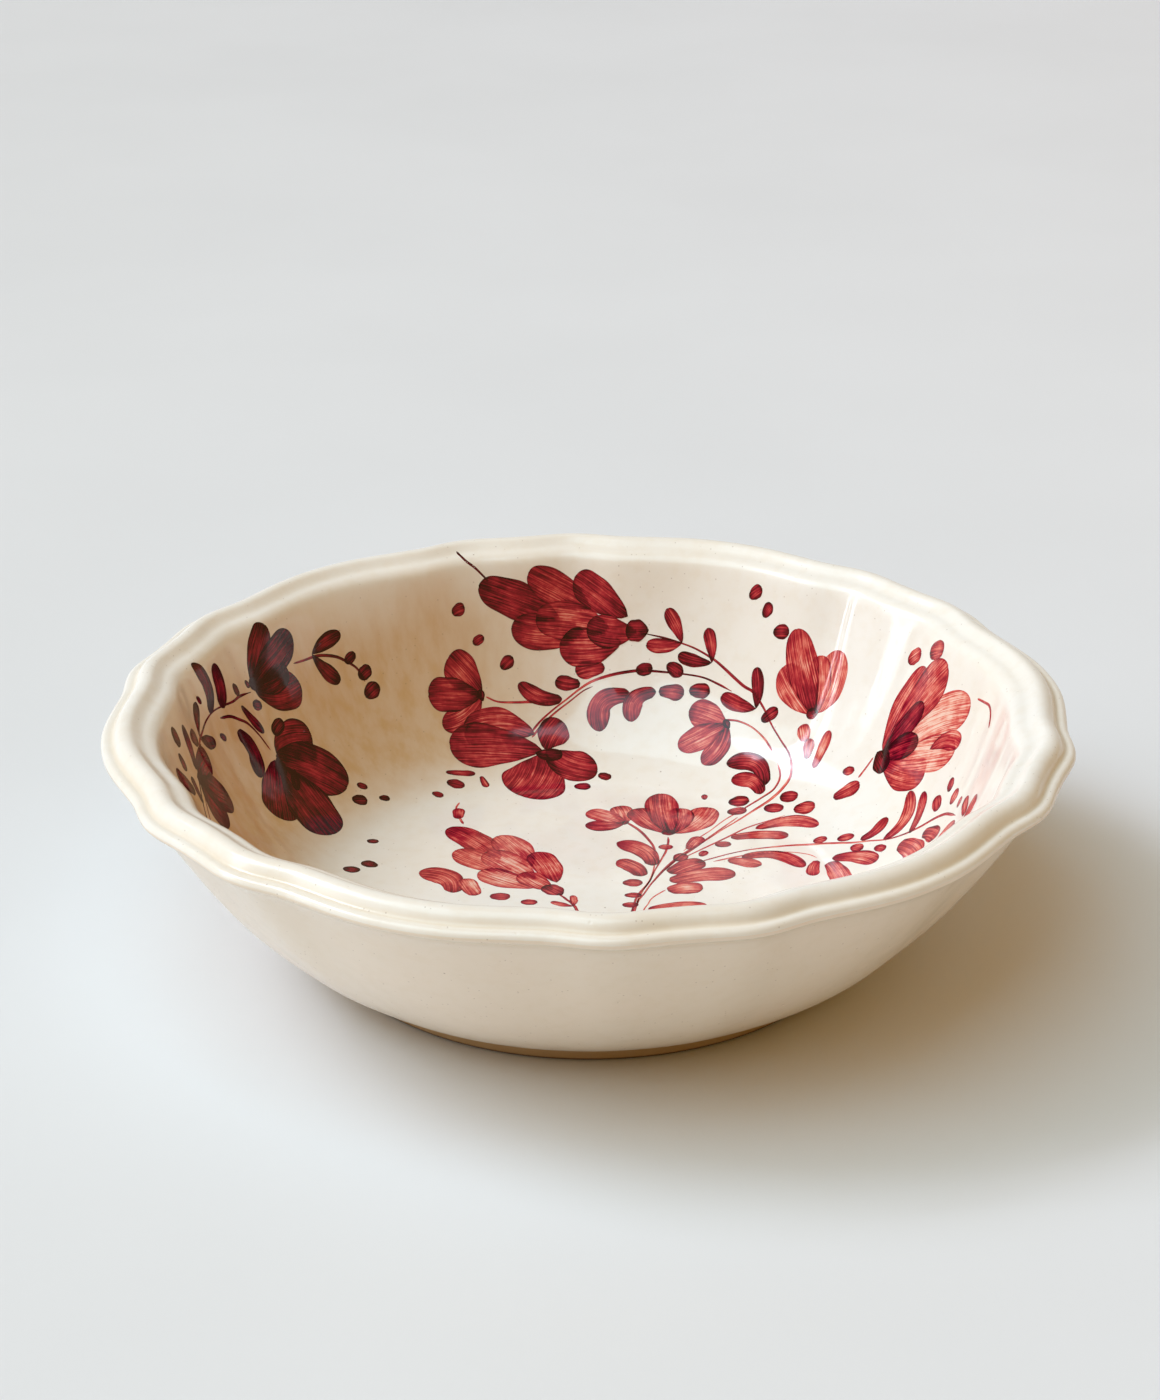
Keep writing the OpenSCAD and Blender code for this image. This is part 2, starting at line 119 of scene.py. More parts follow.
def fade(z):
    """The share of the dip that a point at height z takes."""
    return np.power(np.clip((z - FADE_Z) / (BEAD_C[1] - FADE_Z), 0, 1), FADE_POWER)


def hand_waver(z, angle):
    """The slight unevenness of a pressed and sponged wall, in mm. It dies out at rim and floor."""
    a = np.radians(angle)
    band = smooth_step(20, 40, z) * (1 - smooth_step(62, 76, z))
    wave = np.sin(5 * a + 0.7 + 0.03 * z) + 0.7 * np.sin(11 * a + 2.1 - 0.05 * z)
    return 0.14 * band * wave + 0.04 * band * np.sin(23 * a + 0.11 * z)


def on_bowl(r, z, angle):
    """Points in metres at radius r and height z, in mm, and an angle in degrees."""
    a = np.radians(angle)
    reach = r - dip(angle) * fade(z) + hand_waver(z, angle)
    return np.stack([reach * np.cos(a), reach * np.sin(a), z + 0 * a], -1) * MM


SHOULDER = arc(SHOULDER_C, SHOULDER_R, SHOULDER_START, SHOULDER_END, 14)
WALL = [[WALL_START_R, FLOOR_Z], [114.5, 14.5], [129.5, 47], SHOULDER[0]]
UNDER_BEAD = [BEAD_C[0] - 3.8, BEAD_C[1] - BEAD_R - 1.8]
OUTSIDE = [UNDER_BEAD, [132, 42], [117.5, 18], [FOOT_R + 1.5, FOOT_H]]


def soften(section, passes):
    """Rounds the creases of a section, as glaze flows into them. Its two ends stay."""
    out = section.copy()
    for _ in range(passes):
        out[1:-1] = 0.25 * out[:-2] + 0.5 * out[1:-1] + 0.25 * out[2:]
    return out


def inset(section, depth):
    """A section moved into the material that lies on its right-hand side."""
    before = np.vstack([section[:1], section[:-1]])
    after = np.vstack([section[1:], section[-1:]])
    along = after - before
    along /= np.linalg.norm(along, axis=1)[:, None]
    side = np.stack([along[:, 1], -along[:, 0]], -1)
    side[section[:, 0] == 0, 0] = 0
    return section + depth * side


# The whole glazed profile, from the floor's centre over the rim to the top of the foot
FLOOR_LINE = np.stack([np.linspace(0, FLOOR_R, 14), np.full(14, FLOOR_Z)], -1)
ROLL = arc(ROLL_C, ROLL_R, ROLL_START, ROLL_END, 20)
BEAD = arc(BEAD_C, BEAD_R, BEAD_START, 0, 10)
CREASE = np.linspace(ROLL[-1], BEAD[0], 5)[1:-1]
INNER = np.vstack([FLOOR_LINE, bezier(WALL, 60), SHOULDER[1:], ROLL, CREASE, BEAD])
OUTER = np.vstack([arc(BEAD_C, BEAD_R, 0, -100, 10), bezier(OUTSIDE, 44)])
PROFILE = soften(np.vstack([INNER, OUTER[1:]]), GLAZE_FLOW)
SEAM = len(INNER) - 1


def run_along(points):
    """The distance run from the first point of a line to each of its points."""
    return np.concatenate([[0], np.cumsum(np.linalg.norm(np.diff(points, axis=0), axis=1))])


RUN = run_along(PROFILE[:SEAM + 1])


def flat_to_bowl(points, lift):
    """Maps points of the inside laid flat, in mm, onto the bowl, lifted off the glaze."""
    lifted = inset(PROFILE, -lift)[:SEAM + 1]
    run = np.hypot(points[..., 0], points[..., 1])
    angle = np.degrees(np.arctan2(points[..., 1], points[..., 0]))
    return on_bowl(np.interp(run, RUN, lifted[:, 0]), np.interp(run, RUN, lifted[:, 1]), angle)


# ---------------------------------------------------------------- mesh helpers
def make_object(name, vertices, faces, material):
    """A smooth-shaded object with one material, linked into the scene."""
    mesh = bpy.data.meshes.new(name)
    mesh.from_pydata(np.asarray(vertices).tolist(), [], faces)
    mesh.shade_smooth()
    mesh.materials.append(material)
    piece = bpy.data.objects.new(name, mesh)
    bpy.context.scene.collection.objects.link(piece)
    return piece


def place_piece(piece, node):
    """Says which node of the part the piece stands for."""
    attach(piece, "root")
    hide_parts(node)


def revolve(section):
    """Vertices and faces of a closed section turned round the axis, with poles where r = 0.

    The section runs the way the profile does, so that its faces look out of the solid."""
    angles = np.arange(TURN_STEPS) * 360 / TURN_STEPS
    vertices = []
    rings = []
    for r, z in section:
        if r < 1e-6:
            rings.append([len(vertices)] * TURN_STEPS)
            vertices.append((0, 0, z * MM))
        else:
            rings.append(range(len(vertices), len(vertices) + TURN_STEPS))
            vertices.extend(on_bowl(r, z + 0 * angles, angles))
    faces = []
    for k, low in enumerate(rings):
        high = rings[(k + 1) % len(rings)]
        if low[0] == low[1] and high[0] == high[1]:
            continue
        for j in range(TURN_STEPS):
            n = (j + 1) % TURN_STEPS
            faces.append(list(dict.fromkeys([low[j], high[j], high[n], low[n]])))
    return vertices, faces


def ring_normals(k):
    """Smooth normals of the glazed surface round point k of the whole profile."""
    angles = np.arange(TURN_STEPS) * 360 / TURN_STEPS
    before = PROFILE[max(k - 1, 0)]
    after = PROFILE[min(k + 1, len(PROFILE) - 1)]
    r, z = PROFILE[k]
    if r < 1e-6:
        return [(0, 0, 1)]
    level = 0 * angles
    outward = on_bowl(after[0], after[1] + level, angles) - on_bowl(before[0], before[1] + level, angles)
    around = on_bowl(r, z + level, angles + 0.5) - on_bowl(r, z + level, angles - 0.5)
    normal = np.cross(outward, around)
    return list(normal / np.linalg.norm(normal, axis=1)[:, None])


def coat(name, first, last, material):
    """A glaze coat over part of the profile: its surface and its underside, closed at both ends."""
    rows = range(first, last + 1)
    under = inset(PROFILE, GLAZE_T)[first:last + 1]
    vertices, faces = revolve(np.vstack([PROFILE[first:last + 1], under[::-1]]))
    piece = make_object(name, vertices, faces, material)
    upper = [n for k in rows for n in ring_normals(k)]
    lower = [tuple(-np.asarray(n)) for k in reversed(rows) for n in ring_normals(k)]
    piece.data.normals_split_custom_set_from_vertices([tuple(n) for n in upper + lower])
    return piece


# ---------------------------------------------------------------- the painting, laid flat
# Motifs repeat the part's: ["kind", x, y, turn, size], and a leaf adds its width and bend, in mm
# and degrees on the inside laid flat, whose centre is [0, 0].
def marks(kind, *rows):
    """Several motifs of one kind, each given by its numbers."""
    return [[kind, *row] for row in rows]


LEFT_SPRAY = [
    ["tulip", -138, 74, 78, 33],
    ["pair", -118, 106, 22, 18],
    ["iris", -118, 58, 0, 30],
    ["pair", -155, 24, 84, 15],
    ["posy", -150, 3, 46, 23],
    *marks("leaf", [-141, 62, 5, 15, 4.2, 0], [-154, 42, 160, 18, 6.6, -5],
        [-151, 50, 140, 15, 8.5, -3], [-139, 50, -25, 17, 8.4, 5], [-153, 4, 160, 16, 5.4, -1.6],
        [-149, -8, 227, 16, 7, -1], [-144, -6, 168, 10, 3.6, 0]),
    *marks("dot", [-99, 115, 60, 6.4], [-91, 113, 60, 7], [-86, 108, 60, 8], [-141, 73, 0, 3.4],
        [-146, 65, 0, 5.4], [-133, 70, 45, 5.5], [-121, 70, 80, 8], [-144, 41, 30, 4],
        [-161, 40, 20, 3.6], [-159, 17, 60, 9], [-168, -2, 20, 8], [-160, -6, 5, 7],
        [-82, 69, 10, 4.4], [-73, 67, 20, 4.2], [-82, 62, 25, 6.2], [-75, 41, 15, 4.2],
        [-75, 25, 150, 6.2], [-81, 20, 0, 6]),
]
CENTRE_SPRAY = [
    ["posy", -42, 121, 196, 23],
    ["leaf", -10, 124, 165, 18, 6.4, 2.2],
    ["bloom", -17, 103, 188, 34],
    *marks("leaf", [-3, 130, 175, 10, 5.6, 0.6], [7, 136, 190, 12, 6.8, -0.6],
        [17, 125, 228, 18, 9, -7], [27, 125, 226, 14, 7.4, -4.8], [28, 125, -17, 10, 6, 0.6],
        [-52, 87, 10, 11, 2.8, 0], [-39, 88, -65, 6, 2.8, 0]),
    *marks("dot", [-48, 82, -5, 6.6], [-54, 75, -10, 4.3], [-2, 85, 0, 6], [6, 91, -25, 5],
        [23, 134, 0, 6.8], [35, 132, -42, 7.6], [44, 122, -15, 8.6]),
]
BACK_SPRAY = [
    ["seed_head", 24, 149, 169, 74],
    ["pair", 40, 141, 141, 15],
    ["pair", 51, 131, 124, 14],
    ["pair", 66, 109, 111, 16],
    *marks("dot", [71, 105, 15, 8], [-57, 150, 30, 6.6], [-46, 141, 40, 5.5], [-33, 135, 50, 6.6],
        [76, 151, 12, 7.2], [80, 143, 30, 6.4], [84, 133, -20, 8]),
]
ARCH_SPRAY = [
    ["posy", 53, 107, 195, 20],
    *marks("leaf", [64, 77, 133, 19, 7.4, -6], [62, 73, 135, 14, 6.8, -3.6]),
    *marks("dot", [54, 71, -5, 7.5], [53, 65, 10, 7], [72, 68, -20, 7], [66, 64, -20, 7.4],
        [42, 76, 90, 3.2]),
]
WELL_SPRAY = [
    ["seed_head", -10, 4, 127, 64],
    *marks("leaf", [-46, 60, 90, 8, 4.6, 0], [-46, 4, 129, 19, 10.4, -5],
        [-38, 2, 110, 13, 7.2, 0]),
    *marks("dot", [-30, 1, -5, 6.8], [-20, -3, -5, 5.6]),
    ["pair", -5, -6, 125, 8],
]
MAIN_SPRAY = [
    ["posy", 13, 57, 149, 16],
    ["tulip", 29, 48, 93, 31],
    *marks("leaf", [22, 24, 125, 21, 8.6, -4], [18, 16, 126, 14, 7.8, -2],
        [35, 36, 64, 11, 5.2, 0.6], [28, 18, 36, 15, 8.6, 1.2], [28, 12, 14, 23, 9.6, 2.2],
        [27, 5, 12, 12, 8.4, 1], [50, 45, 2, 20, 6.6, 2], [59, 52, -9, 22, 6.2, 5],
        [53, 30, -20, 22, 6.8, 6], [48, 28, -19, 12, 6.4, 0.6], [20, -8, 8, 20, 5, 1.5]),
    *marks("dot", [27, 38, 0, 5.2], [15, 11, 0, 6.8], [15, 2, 0, 5.8], [14, -5, 0, 5.4],
        [32, 30, 58, 6.4], [40, 33, 62, 4.8], [47, 40, 10, 5.8]),
]
SIDE_SPRAY = [
    *marks("leaf", [88, 60, 0, 11, 6, 0], [95, 33, 20, 12, 5, -1.5], [103, 27, 42, 20, 6, -4.5],
        [113, 21, 53, 17, 4.4, -1.2], [84, 27, -36, 18, 7, 2.6], [83, 25, -78, 16, 8, 0.5],
        [79, 27, -102, 11, 4.6, -0.8], [108, 19, -68, 16, 9, 1.4], [118, 15, -62, 11, 6.6, 1],
        [121, -1, 0, 12, 8, 1.5], [122, -3, -40, 12, 6, 0], [139, -5, 82, 11, 5, 0],
        [138, -8, 5, 10, 7, 0]),
    *marks("dot", [77, 60, -15, 8], [96, 68, -25, 5], [81, 40, 0, 5.2], [90, 37, -15, 6.4],
        [93, 29, -45, 5.4], [101, 23, -50, 5.6], [127, 23, 80, 7.2], [135, 24, 50, 5.6],
        [135, 16, 30, 6.2], [137, 9, 40, 4.4]),
]
RIGHT_SPRAY = [
    ["plume", 110, 65, -15, 52],
    ["tulip", 88, 97, 82, 32],
    *marks("leaf", [82, 89, 85, 7, 5.4, 0], [81, 82, 67, 8, 4.6, 0], [83, 77, 49, 15, 4.6, 0]),
    *marks("dot", [139, 88, -15, 8], [152, 79, -38, 11.5]),
]
FRONT_LEFT_SPRAY = [
    ["tulip", -110, -62, 195, 30],
    ["pair", -128, -28, 205, 16],
    ["pair", -92, -84, 245, 14],
    ["posy", -76, -66, 62, 22],
    ["iris", -44, -112, -78, 28],
    *marks("leaf", [-118, -46, 60, 16, 6, 3], [-66, -98, 228, 18, 7, -4],
        [-28, -92, 100, 15, 6, 3]),
    *marks("dot", [-100, -72, 20, 7], [-84, -90, 60, 6], [-55, -84, 10, 6], [-48, -80, 40, 5],
        [-141, -46, 70, 7], [-70, -130, 20, 8], [-80, -124, 40, 6]),
]
FRONT_RIGHT_SPRAY = [
    ["seed_head", 32, -92, -62, 62],
    ["tulip", 116, -76, -22, 30],
    ["bloom", 72, -72, 10, 28],
    ["pair", 12, -46, 92, 14],
    ["pair", 98, -98, -70, 15],
    *marks("leaf", [22, -66, 20, 20, 7, 4], [6, -66, 160, 18, 7, -4], [80, -116, -100, 18, 7, -4],
        [4, -92, 200, 16, 6, 3]),
    *marks("dot", [4, -52, 20, 6], [88, -104, 30, 7], [12, -104, 60, 7], [4, -112, 40, 6],
        [112, -44, 10, 7], [120, -38, 40, 6]),
]
STEMS = [
    [[-125, 97], [-120, 102], [-116, 106], [-112, 109], [-106, 112], [-101, 113], [-95, 113],
     [-90, 110]],
    [[-138, 72], [-143, 65], [-146, 59], [-150, 52], [-153, 45], [-154, 38], [-154, 30],
     [-155, 22], [-154, 12], [-152, 5], [-148, -1], [-140, -12], [-128, -28], [-116, -48],
     [-100, -70], [-84, -88], [-64, -102], [-44, -110]],
    [[-121, 59], [-128, 60], [-135, 59], [-140, 56], [-145, 52], [-149, 46]],
    [[-40, 121], [-35, 120], [-28, 121], [-22, 122], [-16, 122]],
    [[-22, 109], [-18, 115], [-13, 120], [-8, 124], [-3, 128], [2, 131], [8, 133], [14, 134],
     [22, 134], [31, 132], [38, 130], [46, 127], [52, 123], [57, 119]],
    [[-61, 173], [-57, 169], [-52, 167], [-46, 164]],
    [[23, 148], [29, 146], [34, 144], [40, 141], [45, 138], [50, 134], [54, 130], [62, 120],
     [66, 116], [69, 109], [71, 101], [73, 94], [75, 86], [74, 78], [70, 73], [65, 69], [58, 64],
     [50, 55], [43, 46], [37, 38], [31, 30], [26, 21], [22, 12], [19, 4], [16, -5], [14, -20],
     [12, -36], [13, -54], [18, -70], [30, -90]],
    [[53, 109], [58, 107], [63, 103], [67, 97], [69, 91]],
    [[-46, 72], [-47, 68], [-46, 63], [-45, 59], [-44, 56]],
    [[-10, 3], [-8, 0], [-5, -5], [-3, -12], [1, -24]],
    [[14, 57], [18, 51], [21, 44], [23, 37], [23, 28]],
    [[134, 4], [132, 8], [129, 13], [124, 17], [117, 20], [110, 23], [104, 26], [98, 30], [92, 33],
     [86, 36], [80, 38], [72, 39], [64, 38], [56, 36], [49, 33], [42, 29], [37, 26]],
    [[99, 63], [103, 65], [107, 67]],
    [[161, 41], [163, 36], [165, 30], [164, 25], [161, 21]],
    [[20, -70], [28, -72], [42, -74], [56, -74], [70, -72]],
    [[32, -91], [46, -100], [64, -106], [82, -106], [98, -98], [110, -84], [116, -76]],
]

# Finer second lines beside the main stems
FINE_STEMS = [
    [[-154, 22], [-154, 16], [-152, 9], [-148, 3], [-141, -6], [-131, -19]],
    [[-21, 108], [-17, 114], [-12, 119], [-7, 123], [-2, 127], [2, 129]],
    [[70, 85], [70, 79], [67, 74], [62, 71], [56, 67], [49, 60], [43, 51], [38, 44], [33, 35]],
    [[28, 46], [28, 42], [27, 35], [25, 28], [23, 21], [21, 13], [18, 4], [16, -5]],
    [[53, 61], [48, 54], [42, 45], [36, 36], [31, 29], [26, 20]],
    [[70, 59], [63, 57], [56, 53], [49, 46], [43, 40], [37, 34], [32, 29]],
    [[79, 29], [76, 32], [70, 34], [62, 34], [52, 31], [43, 27]],
    [[26, 6], [22, 1], [20, -4], [18, -10], [15, -22]],
    [[23, 28], [22, 18], [20, 10], [17, 3], [15, -6], [13, -20], [11, -36]],
]

# Each spray's motifs, and how much pigment its brush carried, from 0, wiped, to 1, loaded
SPRAYS = {
    "painted_left_spray": (LEFT_SPRAY, 0.86),
    "painted_centre_spray": (CENTRE_SPRAY, 0.6),
    "painted_back_spray": (BACK_SPRAY, 0.6),
    "painted_arch_spray": (ARCH_SPRAY, 0.5),
    "painted_well_spray": (WELL_SPRAY, 0.36),
    "painted_main_spray": (MAIN_SPRAY, 0.42),
    "painted_side_spray": (SIDE_SPRAY, 0.4),
    "painted_right_spray": (RIGHT_SPRAY, 0.36),
    "painted_front_left_spray": (FRONT_LEFT_SPRAY, 0.6),
    "painted_front_right_spray": (FRONT_RIGHT_SPRAY, 0.54),
}

# A motif's strokes, in shares of its size: [along, aside, turn, length, width, bend, fattest
# share, added pigment]. Later strokes lie over earlier ones.
MOTIFS = {
    "tulip": [
        [0.02, 0.02, 24, 0.74, 0.37, 0.02, 0.66, 0.02],
        [0.02, -0.03, -36, 0.78, 0.42, -0.06, 0.62, -0.04],
        [0.02, -0.02, -18, 0.66, 0.3, -0.04, 0.64, 0.02],
        [0, 0, 0, 1, 0.4, 0.03, 0.62, 0],
        [0.03, -0.06, 84, 0.16, 0.13, 0, 0.5, 0.3],
    ],
    "posy": [
        [0, 0, 34, 0.86, 0.5, 0.1, 0.62, 0.02],
        [0, 0, -48, 0.84, 0.54, -0.04, 0.64, 0],
        [0, 0, -4, 1, 0.56, -0.02, 0.6, -0.02],
        [-0.03, 0.09, -84, 0.2, 0.15, 0.02, 0.5, 0.3],
    ],
    "iris": [
        [0, 0.06, 54, 0.66, 0.56, 0.08, 0.6, 0],
        [0, -0.04, -68, 0.84, 0.66, 0, 0.6, 0.02],
        [0, 0.02, 16, 1.02, 0.66, 0.1, 0.62, 0.04],
        [0.1, -0.04, -32, 1, 0.74, 0.05, 0.62, 0],
        [0.02, 0.03, -50, 0.26, 0.2, 0, 0.5, 0.24],
        [0.3, 0.06, -66, 0.3, 0.13, 0, 0.5, 0.16],
    ],
    "bloom": [
        [0.06, -0.2, 4, 0.78, 0.42, -0.1, 0.56, 0.02],
        [-0.02, 0.04, 66, 0.68, 0.7, 0.05, 0.6, -0.08],
        [0, 0, 2, 1, 0.52, -0.04, 0.64, 0.02],
        [-0.04, 0, 148, 0.64, 0.46, -0.06, 0.58, 0.04],
        [-0.04, 0, -128, 0.4, 0.32, 0.03, 0.56, 0.08],
        [0.08, 0.03, 172, 0.3, 0.18, -0.02, 0.5, 0.24],
    ],
    "plume": [
        [0.02, 0.02, 31, 0.66, 0.3, 0.07, 0.66, 0.04],
        [0.02, -0.03, -40, 0.5, 0.26, -0.02, 0.66, 0.06],
        [0.06, -0.04, -25, 0.74, 0.28, 0.02, 0.68, -0.06],
        [0.04, 0, -13, 1.02, 0.32, 0.12, 0.72, -0.16],
        [0.04, 0.03, 11, 0.84, 0.36, 0.07, 0.68, 0],
        [0.02, 0.02, 16, 0.5, 0.2, 0.02, 0.62, 0.1],
        [0, 0, -10, 0.4, 0.18, 0.02, 0.62, 0.12],
        [0.5, -0.2, -34, 0.34, 0.14, 0.05, 0.68, -0.1],
        [-0.03, 0.05, -62, 0.19, 0.16, 0, 0.5, 0.4],
    ],
    "seed_head": [
        [0.5, 0.02, 2, 0.5, 0.2, -0.02, 0.58, 0.16],
        [0.34, 0.06, 15, 0.42, 0.19, 0.01, 0.6, 0.02],
        [0.32, -0.06, -11, 0.42, 0.19, -0.01, 0.6, 0],
        [0.2, 0.01, 4, 0.42, 0.2, -0.01, 0.6, -0.04],
        [0.12, 0.07, 19, 0.36, 0.18, 0.01, 0.6, -0.02],
        [0.1, -0.06, -16, 0.38, 0.18, -0.01, 0.6, 0.02],
        [0.04, 0.01, 3, 0.28, 0.16, 0.01, 0.6, 0],
        [-0.03, 0, 4, 0.14, 0.12, 0, 0.5, 0.16],
    ],
    "pair": [
        [0.04, 0, 32, 1, 0.37, 0.05, 0.62, 0.06],
        [0.04, 0, -32, 0.96, 0.37, -0.05, 0.64, 0.04],
    ],
}

# How much darker a dot is than its spray, and how much the strokes of a motif vary
DOT_TONE = 0.12
MOTIF_HAZARD = {"turn": 2.5, "length": 0.03, "width": 0.06, "tone": 0.05}

# The mesh of a stroke: its spacing, its least number of rows, the spacing on its hidden underside
STATION_STEP = 0.55
MIN_STATIONS = 10
UNDERSIDE_STEP = 3.5

# How far the first stroke lies above the glaze, each further layer above the last, and how far a
# stroke's underside lies below the glaze
LIFT = 0.035
LAYER_LIFT = 0.012
SINK = 0.1

# Stems: their width and tone, how much darker they run up the back wall, and the finer ones
STEM_WIDTH = 1.1
STEM_TONE = 0.42
STEM_DARKENING = 0.36
FINE_STEM_WIDTH = 0.7 * STEM_WIDTH
FINE_STEM_TONE = STEM_TONE - 0.08

# A stroke's outline: its width where the brush lands, as a share of the full width, the share of
# its length over which it rounds off there, and how squarely it ends
PETAL_BASE = 0.12
LEAF_BASE = 0.5
DOT_BASE = 0.4
LANDING = 0.07
BLUNTNESS = 2.7


class Stroke:
    """One touch of the brush: a curved petal shape on the inside laid flat."""

    def __init__(self, x, y, turn, length, width, bend, fat, tone, base=PETAL_BASE):
        self.start = np.array([x, y], float)
        self.along = np.array([math.cos(math.radians(turn)), math.sin(math.radians(turn))])
        self.left = np.array([-self.along[1], self.along[0]])
        self.length = length
        self.width = width
        self.bend = bend
        self.fat = fat
        self.base = base
        self.tone = tone
        self.seed = float(rng.uniform(0, 100))
        self.ripple = rng.uniform(0, 2 * math.pi, 4)
        self.layer = 0

    def half(self, t):
        """Half the width at share t of the length: narrow where the brush lands, full, blunt at its end."""
        t = np.clip(t, 0, 1)
        swell = self.base + (1 - self.base) * np.sin(np.pi / 2 * np.minimum(t / self.fat, 1))
        past = np.clip((t - self.fat) / (1 - self.fat), 0, 1)
        blunt = np.sqrt(1 - np.power(past, BLUNTNESS))
        landing = np.sqrt(np.clip(t / LANDING, 0, 1))
        waver = 1 + 0.045 * np.sin(6 * t + self.ripple[0]) + 0.025 * np.sin(15 * t + self.ripple[1])
        return self.width / 2 * swell * blunt * landing * waver

    def middle(self, t):
        """How far the bent middle line lies aside at share t."""
        return self.bend * 4 * t * (1 - t)

    def slant(self, t):
        """The direction of the bent middle line at share t, in radians off the straight way."""
        return np.arctan(self.bend * 4 * (1 - 2 * t) / self.length)

    def flat(self, t, v):
        """Points on the flat inside, at shares t along and v across, from -1 to 1."""
        ragged = 0.06 * np.sin(29 * v + self.ripple[2]) + 0.05 * np.sin(53 * v + self.ripple[3])
        reach = t * self.length + ragged * smooth_step(0.8, 1, t) * min(self.width / 4, 1.5)
        across = v * self.half(t)
        reach = reach - across * np.sin(self.slant(t))
        aside = self.middle(t) + across * np.cos(self.slant(t))
        return self.start + reach[..., None] * self.along + aside[..., None] * self.left

    def shares(self, points):
        """The shares t and v of points on the flat inside, the inverse of flat()."""
        off = points - self.start
        t = off @ self.along / self.length
        aside = off @ self.left - self.middle(t)
        half = self.half(t) / np.cos(self.slant(np.clip(t, 0, 1)))
        v = aside / np.maximum(half, 1e-6)
        return t, np.where((t > 0) & (t < 1), v, 9.0)

    def pigment(self, t, v):
        """How dense the paint lies: pooled at the rim, the landing and the end, thin in the middle."""
        half = self.half(t)
        from_side = (1 - np.abs(v)) * half
        from_end = np.minimum((1 - t) * self.length * 0.8, t * self.length * 0.8)
        from_edge = np.minimum(from_side, from_end)
        rim = 1 - smooth_step(0.15, min(1.0, 0.12 * self.width + 0.35), from_edge)
        landing = np.exp(-((t / 0.2) ** 2))
        end = np.exp(-(((t - 0.93) / 0.1) ** 2))
        belly = np.exp(-(((t - 0.55) / 0.22) ** 2)) * (1 - v * v)
        return self.tone + 0.13 * rim + 0.18 * landing + 0.08 * end - 0.12 * belly


def motif_strokes(motif, tone):
    """The strokes of one motif of the tables."""
    kind, x, y, turn, size = motif[:5]
    if kind == "leaf":
        width, bend = motif[5:]
        laden = tone + 0.06 + 0.05 * rng.standard_normal()
        return [Stroke(x, y, turn, size, width, bend, 0.66, laden, LEAF_BASE)]
    heading = np.array([math.cos(math.radians(turn)), math.sin(math.radians(turn))])
    if kind == "dot":
        start = np.array([x, y]) - size / 2 * heading
        width = size * rng.uniform(0.62, 0.8)
        dark = min(tone + DOT_TONE, 0.92)
        return [Stroke(*start, turn, size, width, 0.04 * size, 0.5, dark, DOT_BASE)]
    leftward = np.array([-heading[1], heading[0]])
    strokes = []
    for along, aside, off, length, width, bend, fat, extra in MOTIFS[kind]:
        start = np.array([x, y]) + size * (along * heading + aside * leftward)
        off += MOTIF_HAZARD["turn"] * rng.standard_normal()
        length *= 1 + MOTIF_HAZARD["length"] * rng.standard_normal()
        width *= 1 + MOTIF_HAZARD["width"] * rng.standard_normal()
        laden = tone + extra + MOTIF_HAZARD["tone"] * rng.standard_normal()
        strokes.append(Stroke(*start, turn + off, length * size, width * size, bend * size, fat, laden))
    return strokes


def smooth_line(points):
    """A smooth curve through the points, with six steps from each to the next."""
    p = np.array(points, float)
    p = np.vstack([2 * p[0] - p[1], p, 2 * p[-1] - p[-2]])
    curve = []
    for k in range(1, len(p) - 2):
        for t in np.linspace(0, 1, 7)[:-1]:
            curve.append(0.5 * (
                2 * p[k] + (p[k + 1] - p[k - 1]) * t
                + (2 * p[k - 1] - 5 * p[k] + 4 * p[k + 1] - p[k + 2]) * t * t
                + (3 * p[k] - p[k - 1] - 3 * p[k + 1] + p[k + 2]) * t ** 3
            ))
    return np.array(curve + [p[-2]])


class Stem:
    """A thin brush line through a few points, with a smooth curve between them."""

    def __init__(self, points, tone, width):
        self.curve = smooth_line(points)
        way = np.gradient(self.curve, axis=0)
        way /= np.linalg.norm(way, axis=1)[:, None]
        self.side = np.stack([-way[:, 1], way[:, 0]], -1)
        self.run = run_along(self.curve)
        self.tone = tone
        self.width = width
        self.seed = float(rng.uniform(0, 100))
        self.phase = rng.uniform(0, 6)

    def grid(self):
        """The points, pigment and brush coordinates of the line's surface."""
        share = self.run / self.run[-1]
        ends = np.minimum(smooth_step(0, 0.04, share), smooth_step(0, 0.06, 1 - share))
        press = 0.85 + 0.25 * np.sin(self.run / 9 + self.phase)
        half = self.width / 2 * press * (0.25 + 0.75 * ends)
        v = np.linspace(-1, 1, 4)
        points = self.curve[:, None] + (half[:, None] * v)[..., None] * self.side[:, None]
        on_wall = smooth_step(105, 150, np.hypot(*self.curve.T))
        uphill = on_wall * (1 - smooth_step(40, 80, self.curve[:, 0]))
        laid = self.tone + STEM_DARKENING * uphill + 0.12 * np.sin(self.run / 14 + self.phase)
        pigment = laid[:, None] + 0.1 * np.abs(v)[None]
        brush = np.stack(np.broadcast_arrays(self.run[:, None], half[:, None] * v, self.seed), -1)
        return points, pigment, brush


def stroke_grid(stroke):
    """The points, pigment and brush coordinates of a stroke's surface."""
    rows = max(MIN_STATIONS, round(stroke.length / STATION_STEP))
    columns = max(6, round(stroke.width / STATION_STEP))
    t = 0.5 - 0.5 * np.cos(np.pi * np.linspace(0.012, 0.995, rows + 1))
    t = 0.5 * t + 0.5 * np.linspace(0.002, 0.996, rows + 1)
    v = np.sin(np.pi / 2 * np.linspace(-1, 1, columns + 1))
    t, v = np.meshgrid(t, v, indexing="ij")
    points = stroke.flat(t, v)
    brush = np.stack([t * stroke.length, v * stroke.half(t), stroke.seed + 0 * t], -1)
    return points, stroke.pigment(t, v), brush


